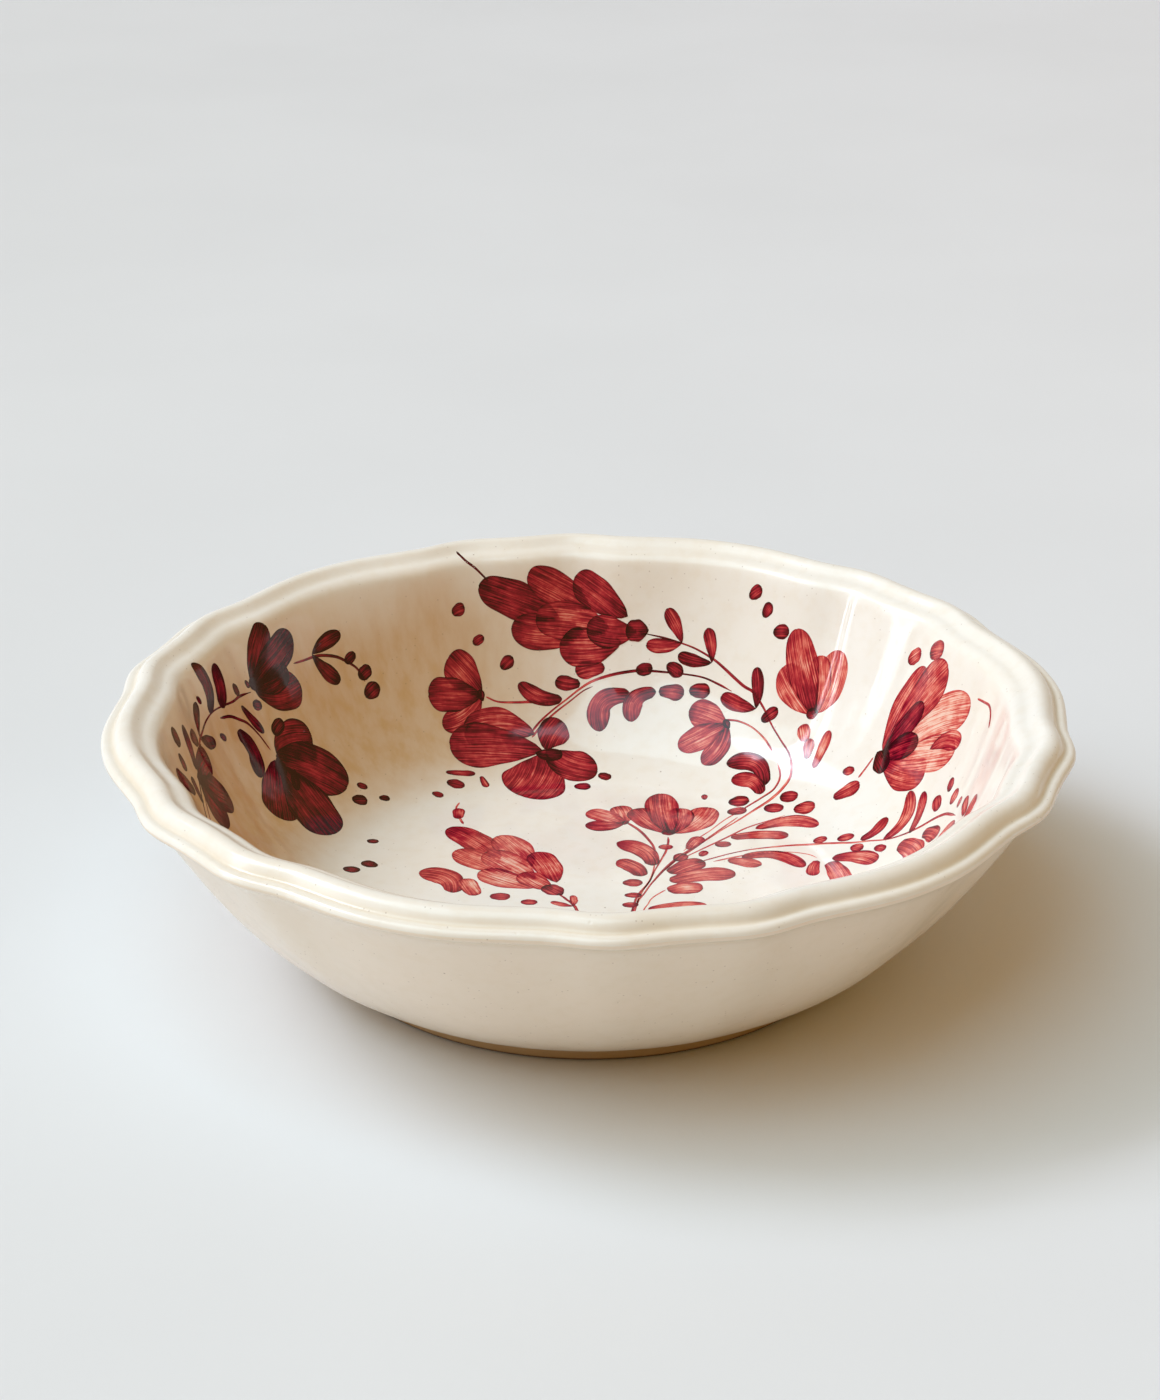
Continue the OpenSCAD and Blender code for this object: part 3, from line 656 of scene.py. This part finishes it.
def add_underlying(stroke, points, pigment, others, stem_points):
    """Paint lies over paint, so a stroke darkens where earlier strokes and stems pass under it."""
    centre = stroke.start + stroke.along * stroke.length / 2
    for other in others:
        middle = other.start + other.along * other.length / 2
        reach = (stroke.length + other.length + stroke.width + other.width) / 2
        if np.linalg.norm(centre - middle) > reach:
            continue
        t, v = other.shares(points)
        inside = smooth_step(0, 0.12, 1 - np.abs(v))
        if inside.max() <= 0:
            continue
        stroke.layer = max(stroke.layer, other.layer + 1)
        under = other.pigment(np.clip(t, 0, 1), np.clip(v, -1, 1))
        pigment += inside * (0.1 + 0.22 * np.clip(under - other.tone + 0.25, 0, 1))
    near = stem_points[np.linalg.norm(stem_points - centre, axis=1) < stroke.length / 2 + stroke.width]
    if len(near):
        gap = np.linalg.norm(points[..., None, :] - near, axis=-1).min(-1)
        pigment += 0.22 * (1 - smooth_step(0.3, 0.75, gap))


class PaintMesh:
    """Gathers closed thin patches on the glaze into one mesh with its paint attributes."""

    def __init__(self):
        self.vertices = []
        self.faces = []
        self.pigment = []
        self.brush = []
        self.count = 0

    def add(self, points, pigment, brush, layer):
        """Adds one patch: a fine top face, a coarser underside and a rim that joins them."""
        rows, columns = points.shape[:2]
        spacing = np.linalg.norm(points[rows // 2, 0] - points[rows // 2, -1]) / columns
        step = max(1, round(UNDERSIDE_STEP / max(0.1, spacing)))
        picks = sorted(set(range(0, columns, step)) | {columns - 1})
        top = self.count + np.arange(rows * columns).reshape(rows, columns)
        low = self.count + rows * columns + np.arange(rows * len(picks)).reshape(rows, len(picks))
        self.vertices.append(flat_to_bowl(points, LIFT + LAYER_LIFT * layer).reshape(-1, 3))
        self.vertices.append(flat_to_bowl(points[:, picks], -SINK).reshape(-1, 3))
        for values, kept in ((pigment[..., None], self.pigment), (brush, self.brush)):
            kept.append(values.reshape(-1, values.shape[-1]))
            kept.append(values[:, picks].reshape(-1, values.shape[-1]))
        for sheet, turned in ((top, False), (low, True)):
            corners = [sheet[:-1, :-1], sheet[1:, :-1], sheet[1:, 1:], sheet[:-1, 1:]]
            quads = np.stack(corners, -1).reshape(-1, 4)
            self.faces += (quads if turned else quads[:, ::-1]).tolist()
        for r in range(rows - 1):
            self.faces.append([top[r, 0], top[r + 1, 0], low[r + 1, 0], low[r, 0]][::-1])
            self.faces.append([top[r, -1], top[r + 1, -1], low[r + 1, -1], low[r, -1]])
        self.faces.append(list(top[0]) + list(low[0][::-1]))
        self.faces.append((list(top[-1]) + list(low[-1][::-1]))[::-1])
        self.count += rows * (columns + len(picks))

    def finish(self, name, material):
        """Makes the piece that stands for the painted node of this name."""
        faces = [[int(i) for i in f] for f in self.faces]
        piece = make_object(name, np.vstack(self.vertices), faces, material)
        mesh = piece.data
        pigment = mesh.attributes.new("pigment", "FLOAT", "POINT")
        pigment.data.foreach_set("value", np.vstack(self.pigment).ravel().astype(np.float32))
        brush = mesh.attributes.new("brush", "FLOAT_VECTOR", "POINT")
        brush.data.foreach_set("vector", np.vstack(self.brush).ravel().astype(np.float32))
        mesh.set_sharp_from_angle(angle=math.radians(40))
        place_piece(piece, name)


def paint_inside(material):
    """Paints the stems and then each spray over them."""
    lines = [Stem(points, STEM_TONE, STEM_WIDTH) for points in STEMS]
    lines += [Stem(points, FINE_STEM_TONE, FINE_STEM_WIDTH) for points in FINE_STEMS]
    mesh = PaintMesh()
    for line in lines:
        mesh.add(*line.grid(), 0)
    mesh.finish("painted_stems", material)
    stem_points = np.vstack([line.curve for line in lines])
    earlier = []
    for name, (motifs, tone) in SPRAYS.items():
        mesh = PaintMesh()
        for motif in motifs:
            for stroke in motif_strokes(motif, tone):
                points, pigment, brush = stroke_grid(stroke)
                stroke.layer = 1
                add_underlying(stroke, points, pigment, earlier, stem_points)
                mesh.add(points, pigment, brush, stroke.layer)
                earlier.append(stroke)
        mesh.finish(name, material)


# ---------------------------------------------------------------- materials
def srgb(red, green, blue):
    """A colour given as 8-bit screen values, in the linear values that a shader takes."""
    def linear(value):
        c = value / 255
        return c / 12.92 if c <= 0.04045 else ((c + 0.055) / 1.055) ** 2.4
    return (linear(red), linear(green), linear(blue), 1)


CREAM = srgb(248, 245, 238)
# A warmer cream for the outside glaze: painted shade on the outer wall
CREAM_OUTSIDE_PAINTED_SHADE = srgb(245, 231, 213)
CREAM_WARM = srgb(242, 232, 215)
# A darker cream for pooled glaze and the sponge mottle; in the creases and at the foot it also paints shade
CREAM_POOL_AND_SHADE = srgb(226, 207, 174)
# The foot's glaze, darkened as painted shade
CREAM_FOOT_PAINTED_SHADE = srgb(182, 154, 116)
# Painted contact shadow along the foot's bottom edge
PAINTED_CONTACT_SHADOW = srgb(66, 44, 34)
# Brown painted shade for the left and back-left inner wall, where shade falls
PAINTED_SHADE_BROWN = srgb(205, 157, 88)
IRON = srgb(122, 84, 52)
BUFF = srgb(205, 168, 126)
CLAY_GRAIN = srgb(176, 134, 92)
CLAY_CLOUD = srgb(214, 186, 150)

# The paper's floor and backdrop, each from its left end to its right end, and the wall beyond it
# Painted light and shade: both lighter to the right, and the backdrop darker than the floor as it rises
PAPER_FLOOR = (srgb(223, 226, 228), srgb(237, 241, 247))
PAPER_BACK = (srgb(160, 162, 163), srgb(178, 180, 180))
PALE_WALL = srgb(219, 220, 218)

# The pigment's colours from wiped thin to pooled thick, as [density, colour]
PIGMENT = [
    (0.0, srgb(244, 208, 190)),
    (0.16, srgb(236, 150, 130)),
    (0.32, srgb(216, 88, 82)),
    (0.48, srgb(180, 40, 56)),
    (0.64, srgb(142, 18, 42)),
    (0.8, srgb(96, 6, 30)),
    (1.0, srgb(46, 2, 14)),
]
IOR = 1.52


class Nodes:
    """A new material with short ways to add and join its nodes."""

    def __init__(self, name):
        self.material = bpy.data.materials.new(name)
        self.material.use_nodes = True
        self.tree = self.material.node_tree
        self.shader = self.tree.nodes["Principled BSDF"]

    def link(self, source, socket):
        """Joins an output to an input."""
        self.tree.links.new(source, socket)

    def add(self, kind, inputs=(), **settings):
        """A new node. Its inputs are constants, or outputs of other nodes to join."""
        node = self.tree.nodes.new("ShaderNode" + kind)
        for key, value in settings.items():
            setattr(node, key, value)
        for key, value in dict(inputs).items():
            if isinstance(value, bpy.types.NodeSocket):
                self.link(value, node.inputs[key])
            else:
                node.inputs[key].default_value = value
        return node

    def place(self):
        """Position on the object, in metres."""
        return self.add("TexCoord").outputs["Object"]

    def axis(self, vector, letter):
        """One coordinate of a vector."""
        return self.add("SeparateXYZ", {"Vector": vector}).outputs[letter]

    def stretch(self, vector, shares):
        """A vector with each coordinate multiplied by its share."""
        inputs = {0: vector, 1: shares}
        return self.add("VectorMath", inputs, operation="MULTIPLY").outputs[0]

    def attribute(self, name, output="Fac"):
        """A value stored on the mesh's vertices."""
        return self.add("Attribute", attribute_name=name).outputs[output]

    def noise(self, vector, scale, detail=3.0, roughness=0.55):
        """Cloudy noise from 0 to 1."""
        inputs = {"Vector": vector, "Scale": scale, "Detail": detail, "Roughness": roughness}
        return self.add("TexNoise", inputs).outputs["Fac"]

    def ramp(self, value, low, high, to_low=0.0, to_high=1.0):
        """A soft rise from to_low to to_high as the value goes from low to high."""
        inputs = {
            "Value": value,
            "From Min": low,
            "From Max": high,
            "To Min": to_low,
            "To Max": to_high,
        }
        return self.add("MapRange", inputs, interpolation_type="SMOOTHSTEP").outputs["Result"]

    def math(self, operation, a, b):
        """One sum on two values."""
        return self.add("Math", {0: a, 1: b}, operation=operation).outputs[0]

    def mix(self, factor, a, b):
        """Colour a where the factor is 0, and b where it is 1."""
        node = self.add("Mix", data_type="RGBA")
        sockets = (node.inputs[0], node.inputs[6], node.inputs[7])
        for socket, value in zip(sockets, (factor, a, b)):
            if isinstance(value, bpy.types.NodeSocket):
                self.link(value, socket)
            else:
                socket.default_value = value
        return node.outputs[2]

    def colour_ramp(self, value, stops):
        """The colour for a value, between the stops round it."""
        node = self.add("ValToRGB", {"Fac": value})
        while len(node.color_ramp.elements) < len(stops):
            node.color_ramp.elements.new(0.5)
        for element, (position, colour) in zip(node.color_ramp.elements, stops):
            element.position = position
            element.color = colour
        return node.outputs["Color"]

    def bump(self, height, distance, strength=1.0, normal=None):
        """Fine relief, of a height in metres at 1, laid over another relief's normal."""
        inputs = {"Height": height, "Distance": distance, "Strength": strength}
        node = self.add("Bump", inputs)
        if normal:
            self.link(normal, node.inputs["Normal"])
        return node.outputs["Normal"]

    def specks(self, vector, scale, radius, share):
        """1 in small round dots, of which only a share of the cells has one."""
        inputs = {"Vector": vector, "Scale": scale, "Randomness": 1.0}
        cells = self.add("TexVoronoi", inputs)
        dot = self.ramp(cells.outputs["Distance"], radius, radius * 0.45)
        parts = self.add("SeparateColor", {"Color": cells.outputs["Color"]})
        chosen = self.math("LESS_THAN", parts.outputs["Red"], share)
        return self.math("MULTIPLY", dot, chosen)


# Heights in metres between which the rim's glaze grows softer, and by how much
RIM_SOFT = (0.074, 0.08)
RIM_ROUGHNESS = 0.13


def finish_glaze(nodes, colour, pools, worn=0.0):
    """The glossy surface that every glazed colour shares: orange peel, pinholes, uneven shine.

    The rim and a worn surface shine more softly, by as much as worn says."""
    place = nodes.place()
    shader = nodes.shader
    nodes.link(colour, shader.inputs["Base Color"])
    peel = nodes.noise(place, 150, 2)
    swell = nodes.noise(place, 38, 2)
    pin = nodes.specks(place, 240, 0.18, 0.05)
    smooth = nodes.bump(swell, 0.00022, 0.6)
    rippled = nodes.bump(peel, 0.00004, 0.55, smooth)
    pinned = nodes.bump(nodes.math("MULTIPLY", pin, -1), 0.0001, 0.6, rippled)
    nodes.link(pinned, shader.inputs["Normal"])
    shine = nodes.ramp(nodes.noise(place, 60, 4), 0.35, 0.7, 0.06, 0.12)
    rim = nodes.ramp(nodes.axis(place, "Z"), *RIM_SOFT, worn, RIM_ROUGHNESS)
    soft = nodes.math("ADD", shine, nodes.math("MULTIPLY", pools, 0.02))
    nodes.link(nodes.math("ADD", soft, rim), shader.inputs["Roughness"])
    shader.inputs["IOR"].default_value = IOR


def glaze_material(name, warmth, cream_tone=CREAM):
    """Cream tin glaze: cloudy tone, a few specks, warmer where it pools, which also paints shade in the
    creases and at the foot, and brown painted shade on the left of the inner wall.
    """
    nodes = Nodes(name)
    place = nodes.place()
    clouds = nodes.ramp(nodes.noise(place, 16, 5, 0.6), 0.34, 0.72)
    sponge = nodes.ramp(nodes.noise(place, 210, 3), 0.42, 0.75)
    pools = nodes.attribute("pool_and_shade")
    cream = nodes.mix(nodes.math("MULTIPLY", clouds, 0.45 + warmth), cream_tone, CREAM_WARM)
    cream = nodes.mix(nodes.math("MULTIPLY", sponge, 0.12), cream, CREAM_POOL_AND_SHADE)
    # Darker where the glaze pools: real pooling, and painted shade in the crease, under the bead and at the
    # foot
    cream = nodes.mix(nodes.math("MULTIPLY", pools, 0.4), cream, CREAM_POOL_AND_SHADE)
    upright = nodes.stretch(place, (1.0, 1.0, 0.12))
    shade_streaks = nodes.ramp(nodes.noise(upright, 190, 3), 0.3, 0.75, 0.78, 1.0)
    # Brown painted shade on the shaded left of the inner wall, streaked upright
    cream = nodes.mix(nodes.math("MULTIPLY", nodes.attribute("painted_shade"), shade_streaks), cream, PAINTED_SHADE_BROWN)
    fine = nodes.math("MULTIPLY", nodes.specks(place, 620, 0.22, 0.1), 0.3)
    coarse = nodes.math("MULTIPLY", nodes.specks(place, 190, 0.09, 0.05), 0.55)
    cream = nodes.mix(fine, cream, IRON)
    cream = nodes.mix(coarse, cream, IRON)
    finish_glaze(nodes, cream, pools, min(1.3 * warmth, RIM_ROUGHNESS))
    return nodes.material


def paint_material():
    """Red underglaze pigment: colour by how dense it lies, with the streaks of the brush's hairs."""
    nodes = Nodes("red_pigment")
    place = nodes.place()
    laid = nodes.attribute("pigment")
    brush = nodes.attribute("brush", "Vector")
    long_way = nodes.stretch(brush, (0.055, 1.9, 7.3))
    fine_way = nodes.stretch(brush, (0.14, 4.4, 3.1))
    streaks = nodes.ramp(nodes.noise(long_way, 1.0, 2), 0.3, 0.72, -0.17, 0.17)
    hairs = nodes.ramp(nodes.noise(fine_way, 1.0, 2), 0.32, 0.7, -0.1, 0.12)
    blotch = nodes.ramp(nodes.noise(place, 230, 3), 0.3, 0.72, -0.09, 0.09)
    dense = nodes.math("ADD", nodes.math("ADD", laid, streaks), nodes.math("ADD", hairs, blotch))
    colours = nodes.colour_ramp(dense, PIGMENT)
    finish_glaze(nodes, colours, nodes.math("MULTIPLY", dense, 0.4))
    return nodes.material


def clay_material():
    """Buff earthenware where the foot was wiped to stand in the kiln, glaze above it darkened as painted
    shade, and a painted contact shadow along the bottom edge.
    """
    nodes = Nodes("buff_clay")
    place = nodes.place()
    grain = nodes.noise(place, 900, 6, 0.7)
    cloud = nodes.noise(place, 45, 4)
    clay = nodes.mix(nodes.ramp(grain, 0.3, 0.7), BUFF, CLAY_GRAIN)
    clay = nodes.mix(nodes.ramp(cloud, 0.4, 0.7, 0.0, 0.4), clay, CLAY_CLOUD)
    clay = nodes.mix(nodes.specks(place, 420, 0.2, 0.3), clay, IRON)
    height = nodes.axis(place, "Z")
    ragged = nodes.math("ADD", height, nodes.math("MULTIPLY", nodes.noise(place, 90, 3), 0.0016))
    glazed = nodes.ramp(ragged, 0.0013, 0.0018)
    # The glaze above the wiped band, darkened as painted shade
    colour = nodes.mix(glazed, clay, CREAM_FOOT_PAINTED_SHADE)
    # Painted contact shadow along the bottom edge
    colour = nodes.mix(nodes.ramp(height, 0.0004, 0.0013), PAINTED_CONTACT_SHADOW, colour)
    nodes.link(colour, nodes.shader.inputs["Base Color"])
    nodes.link(nodes.ramp(glazed, 0, 1, 0.85, 0.14), nodes.shader.inputs["Roughness"])
    nodes.link(nodes.bump(grain, 0.00012, 0.7), nodes.shader.inputs["Normal"])
    return nodes.material


def paper_material():
    """The pale matt sweep that the bowl stands on, painted lighter to the right and darker up the backdrop,
    as painted light and shade.
    """
    nodes = Nodes("pale_paper")
    place = nodes.place()
    # Painted light: lighter to the right
    rightward = nodes.ramp(nodes.axis(place, "X"), -0.8, 0.8)
    floor = nodes.mix(rightward, *PAPER_FLOOR)
    backdrop = nodes.mix(rightward, *PAPER_BACK)
    cloudy = nodes.ramp(nodes.noise(place, 3, 3), 0.3, 0.7, 0.0, 0.06)
    # Painted shade: darker up the backdrop
    upward = nodes.ramp(nodes.axis(place, "Z"), 0.0, 1.1)
    tone = nodes.mix(nodes.math("ADD", upward, cloudy), floor, backdrop)
    nodes.link(tone, nodes.shader.inputs["Base Color"])
    nodes.link(nodes.bump(nodes.noise(place, 700, 4), 0.0001, 0.25), nodes.shader.inputs["Normal"])
    nodes.shader.inputs["Roughness"].default_value = 0.9
    nodes.shader.inputs["Specular IOR Level"].default_value = 0.2
    return nodes.material


# ---------------------------------------------------------------- the bowl's pieces
# Where glaze pools and darkens, which also paints the shade in these hollows, as [radius, height,
# spread] in mm: the crease between roll and bead, under the bead, and at the foot
POOLS_AND_SHADE = [(154.2, 80.3, 1.3), (153.0, 75.2, 1.8), (FOOT_R + 1.7, FOOT_H, 2.4)]

# The brown shade painted on the left of the inner wall, where shade falls: its strength, the
# bearings in degrees and the radii in mm over which it comes and goes
PAINTED_SHADE_SHARE = 0.82
PAINTED_SHADE_BEARINGS = ((78, 122), (190, 222))
PAINTED_SHADE_RADII = ((84, 112), (130, 141))

# The foot ring's section: how far up its sides lean in, and the radius of its rounded edges
FOOT_LEAN_Z = 2.6
FOOT_EDGE_R = 1.4

# Where the glaze under the floor ends, just inside the foot ring
BASE_EDGE_R = 80.7


def vertices_mm(piece):
    """The piece's vertices in millimetres, one to a row."""
    co = np.empty(len(piece.data.vertices) * 3)
    piece.data.vertices.foreach_get("co", co)
    return co.reshape(-1, 3) / MM


def store(piece, name, share):
    """Keeps a share from 0 to 1 for each vertex under a name that the material reads."""
    values = piece.data.attributes.new(name, "FLOAT", "POINT")
    values.data.foreach_set("value", np.asarray(share, np.float32))


def pool_and_shade_share(piece):
    """How thick the glaze lies at each vertex, as a share; the darkening it brings also paints the shade in
    these hollows.
    """
    x, y, z = vertices_mm(piece).T
    r = np.hypot(x, y) + dip(np.degrees(np.arctan2(y, x))) * fade(z)
    share = sum(np.exp(-((r - at) ** 2 + (z - up) ** 2) / spread ** 2) for at, up, spread in POOLS_AND_SHADE)
    return np.clip(share, 0, 1)


def between(bounds, value):
    """1 between two soft bounds, each given by where it starts and ends."""
    rise, fall = bounds
    return smooth_step(*rise, value) * (1 - smooth_step(*fall, value))


def painted_shade_share(piece):
    """How strongly the brown painted shade lies on the left of the inner wall, as a share."""
    x, y, _ = vertices_mm(piece).T
    bearing = np.mod(np.degrees(np.arctan2(y, x)), 360)
    return PAINTED_SHADE_SHARE * between(PAINTED_SHADE_BEARINGS, bearing) * between(PAINTED_SHADE_RADII, np.hypot(x, y))


def make_glaze_coats():
    """The glaze inside and outside, which meet on the bead."""
    inside = coat("inner_glaze", 0, SEAM, glaze_material("inner_cream_glaze", 0.0))
    store(inside, "pool_and_shade", pool_and_shade_share(inside))
    # The brown painted shade on the left of the inner wall
    store(inside, "painted_shade", painted_shade_share(inside))
    place_piece(inside, "inner_glaze")
    # A warmer copy of the cream glaze, painted shade on the outer wall
    cream = glaze_material("outer_cream_glaze", 0.1, CREAM_OUTSIDE_PAINTED_SHADE)
    outside = coat("outer_glaze", SEAM, len(PROFILE) - 1, cream)
    store(outside, "pool_and_shade", pool_and_shade_share(outside))
    place_piece(outside, "outer_glaze")


def make_clay_body(clay):
    """The clay under the glaze, closed underneath at the top of the foot."""
    body = inset(PROFILE, GLAZE_T)
    under = np.array([[FOOT_R - FOOT_W, FOOT_H], [0, FOOT_H]])
    solid = np.vstack([body[:1], body[1:-1][::2], under])
    place_piece(make_object("clay_body", *revolve(solid), clay), "clay_body")


def make_foot_ring(clay):
    """The ring that the bowl stands on, with rounded edges."""
    inner_edge = FOOT_R - FOOT_W
    foot = np.vstack([
        [[inner_edge, FOOT_H], [inner_edge + 0.4, FOOT_LEAN_Z]],
        arc(np.array([inner_edge + 2.2, FOOT_EDGE_R]), FOOT_EDGE_R, 180, 270, 6),
        arc(np.array([FOOT_R - 2.0, FOOT_EDGE_R]), FOOT_EDGE_R, 270, 350, 6),
        [[FOOT_R - 0.3, FOOT_LEAN_Z], [FOOT_R, FOOT_H]],
    ])
    place_piece(make_object("foot_ring", *revolve(foot[::-1]), clay), "foot_ring")


def make_base_glaze():
    """The glaze under the floor, inside the foot ring, slightly uneven."""
    disc_r = np.concatenate([np.linspace(0, FLOOR_R, 27), [79.5, 80.3, BASE_EDGE_R]])
    waves = 0.12 * np.sin(disc_r / 9)
    waves *= smooth_step(0, 20, disc_r) * (1 - smooth_step(70, 80, disc_r))
    face = np.stack([disc_r, FOOT_H - GLAZE_T + 0.05 + waves * 0.3], -1)
    back = np.array([[BASE_EDGE_R, FOOT_H - 0.02], [0, FOOT_H - 0.02]])
    cream = glaze_material("base_cream_glaze", 0.25)
    disc = make_object("base_glaze", *revolve(np.vstack([face, back])[::-1]), cream)
    store(disc, "pool_and_shade", np.zeros(len(disc.data.vertices)))
    place_piece(disc, "base_glaze")


def make_bowl():
    make_glaze_coats()
    clay = clay_material()
    make_clay_body(clay)
    make_foot_ring(clay)
    make_base_glaze()


# ---------------------------------------------------------------- the plain set
# In metres, degrees and watts
CAMERA_PLACE = (-0.00285, -0.9054, 0.4879)
CAMERA_TILT = 65.93
CAMERA_LENS = 78.17
SENSOR = 36

# The paper's front edge and half width, where its curve starts and its radius, and its top
PAPER_FRONT = -1.6
PAPER_SIDE = 2.2
CURVE_START = 1.7
CURVE_R = 0.9
PAPER_TOP = 3.2

# Each lamp's name, place, width, height, power and colour. All of them face FOCUS.
FOCUS = Vector((0, 0, 0.045))
LAMPS = [
    ("window", (-5.5, 0.95, 6.3), 3.6, 2.7, 280, (0.77, 0.84, 1.0)),
    ("ceiling", (-1.1, -1.1, 3.5), 3.2, 3.2, 74, (0.54, 0.84, 1.0)),
]

# The bright panes' bearings and widths, how far off they stand, the height of their middles, their
# length, how far they lean from upright, their colour and their power for each metre of width
PANES = ((175, 0.1), (178, 0.34), (184, 0.1), (189, 0.34))
PANE_REACH = 8.0
PANE_MIDDLE = 4.2
PANE_LENGTH = 9.5
PANE_LEAN = 20.0
PANE_COLOUR = (0.85, 0.93, 1.0)
PANE_POWER = 360
WARM_LIGHT = (1.0, 0.57, 0.16, 1)
WARM_STRENGTH = 0.41


def make_camera():
    """The viewing angle: a little above the rim, straight on to the front."""
    camera = bpy.data.cameras.new("camera")
    view = bpy.data.objects.new("camera", camera)
    bpy.context.scene.collection.objects.link(view)
    view.location = CAMERA_PLACE
    view.rotation_euler = (math.radians(CAMERA_TILT), 0, 0)
    camera.sensor_width = SENSOR
    camera.lens = CAMERA_LENS
    bpy.context.scene.camera = view


def make_sweep():
    """One sheet of paper: a floor that curves up into the backdrop."""
    depth = [(PAPER_FRONT, 0)]
    for a in np.linspace(0, math.pi / 2, 24):
        depth.append((CURVE_START + CURVE_R * math.sin(a), CURVE_R - CURVE_R * math.cos(a)))
    depth.append((CURVE_START + CURVE_R, PAPER_TOP))
    width = np.linspace(-PAPER_SIDE, PAPER_SIDE, 9)
    vertices = [(x, y, z) for y, z in depth for x in width]
    n = len(width)
    faces = []
    for k in range(len(depth) - 1):
        for i in range(k * n, k * n + n - 1):
            faces.append((i, i + 1, i + n + 1, i + n))
    make_object("sweep", vertices, faces, paper_material())


def area_light(name, place, width, height, power, colour):
    """A soft rectangular lamp that faces the bowl and that the camera doesn't see."""
    light = bpy.data.lights.new(name, "AREA")
    light.shape = "RECTANGLE"
    light.size = width
    light.size_y = height
    light.energy = power
    light.color = colour
    lamp = bpy.data.objects.new(name, light)
    bpy.context.scene.collection.objects.link(lamp)
    lamp.location = place
    lamp.visible_camera = False
    lamp.rotation_euler = (FOCUS - lamp.location).to_track_quat("-Z", "Y").to_euler()
    return lamp


def make_world():
    """Warm light from all round; the camera itself sees a pale wall beyond the paper."""
    world = bpy.data.worlds.new("room")
    bpy.context.scene.world = world
    world.use_nodes = True
    tree = world.node_tree
    warm = tree.nodes["Background"]
    warm.inputs["Color"].default_value = WARM_LIGHT
    warm.inputs["Strength"].default_value = WARM_STRENGTH
    pale = tree.nodes.new("ShaderNodeBackground")
    pale.inputs["Color"].default_value = PALE_WALL
    path = tree.nodes.new("ShaderNodeLightPath")
    mix = tree.nodes.new("ShaderNodeMixShader")
    tree.links.new(path.outputs["Is Camera Ray"], mix.inputs[0])
    tree.links.new(warm.outputs[0], mix.inputs[1])
    tree.links.new(pale.outputs[0], mix.inputs[2])
    tree.links.new(mix.outputs[0], tree.nodes["World Output"].inputs["Surface"])


def make_light():
    """A window to the left with bright panes below it, and a pale ceiling."""
    for lamp in LAMPS:
        area_light(*lamp)
    for number, (bearing, width) in enumerate(PANES):
        a = math.radians(bearing)
        place = (PANE_REACH * math.cos(a), PANE_REACH * math.sin(a), PANE_MIDDLE)
        power = PANE_POWER * width
        pane = area_light("pane_%d" % number, place, width, PANE_LENGTH, power, PANE_COLOUR)
        pane.rotation_euler.rotate_axis("Z", math.radians(PANE_LEAN))
    bpy.context.scene.view_settings.view_transform = "Standard"


make_camera()
make_sweep()
make_world()
make_light()
make_bowl()
paint_inside(paint_material())
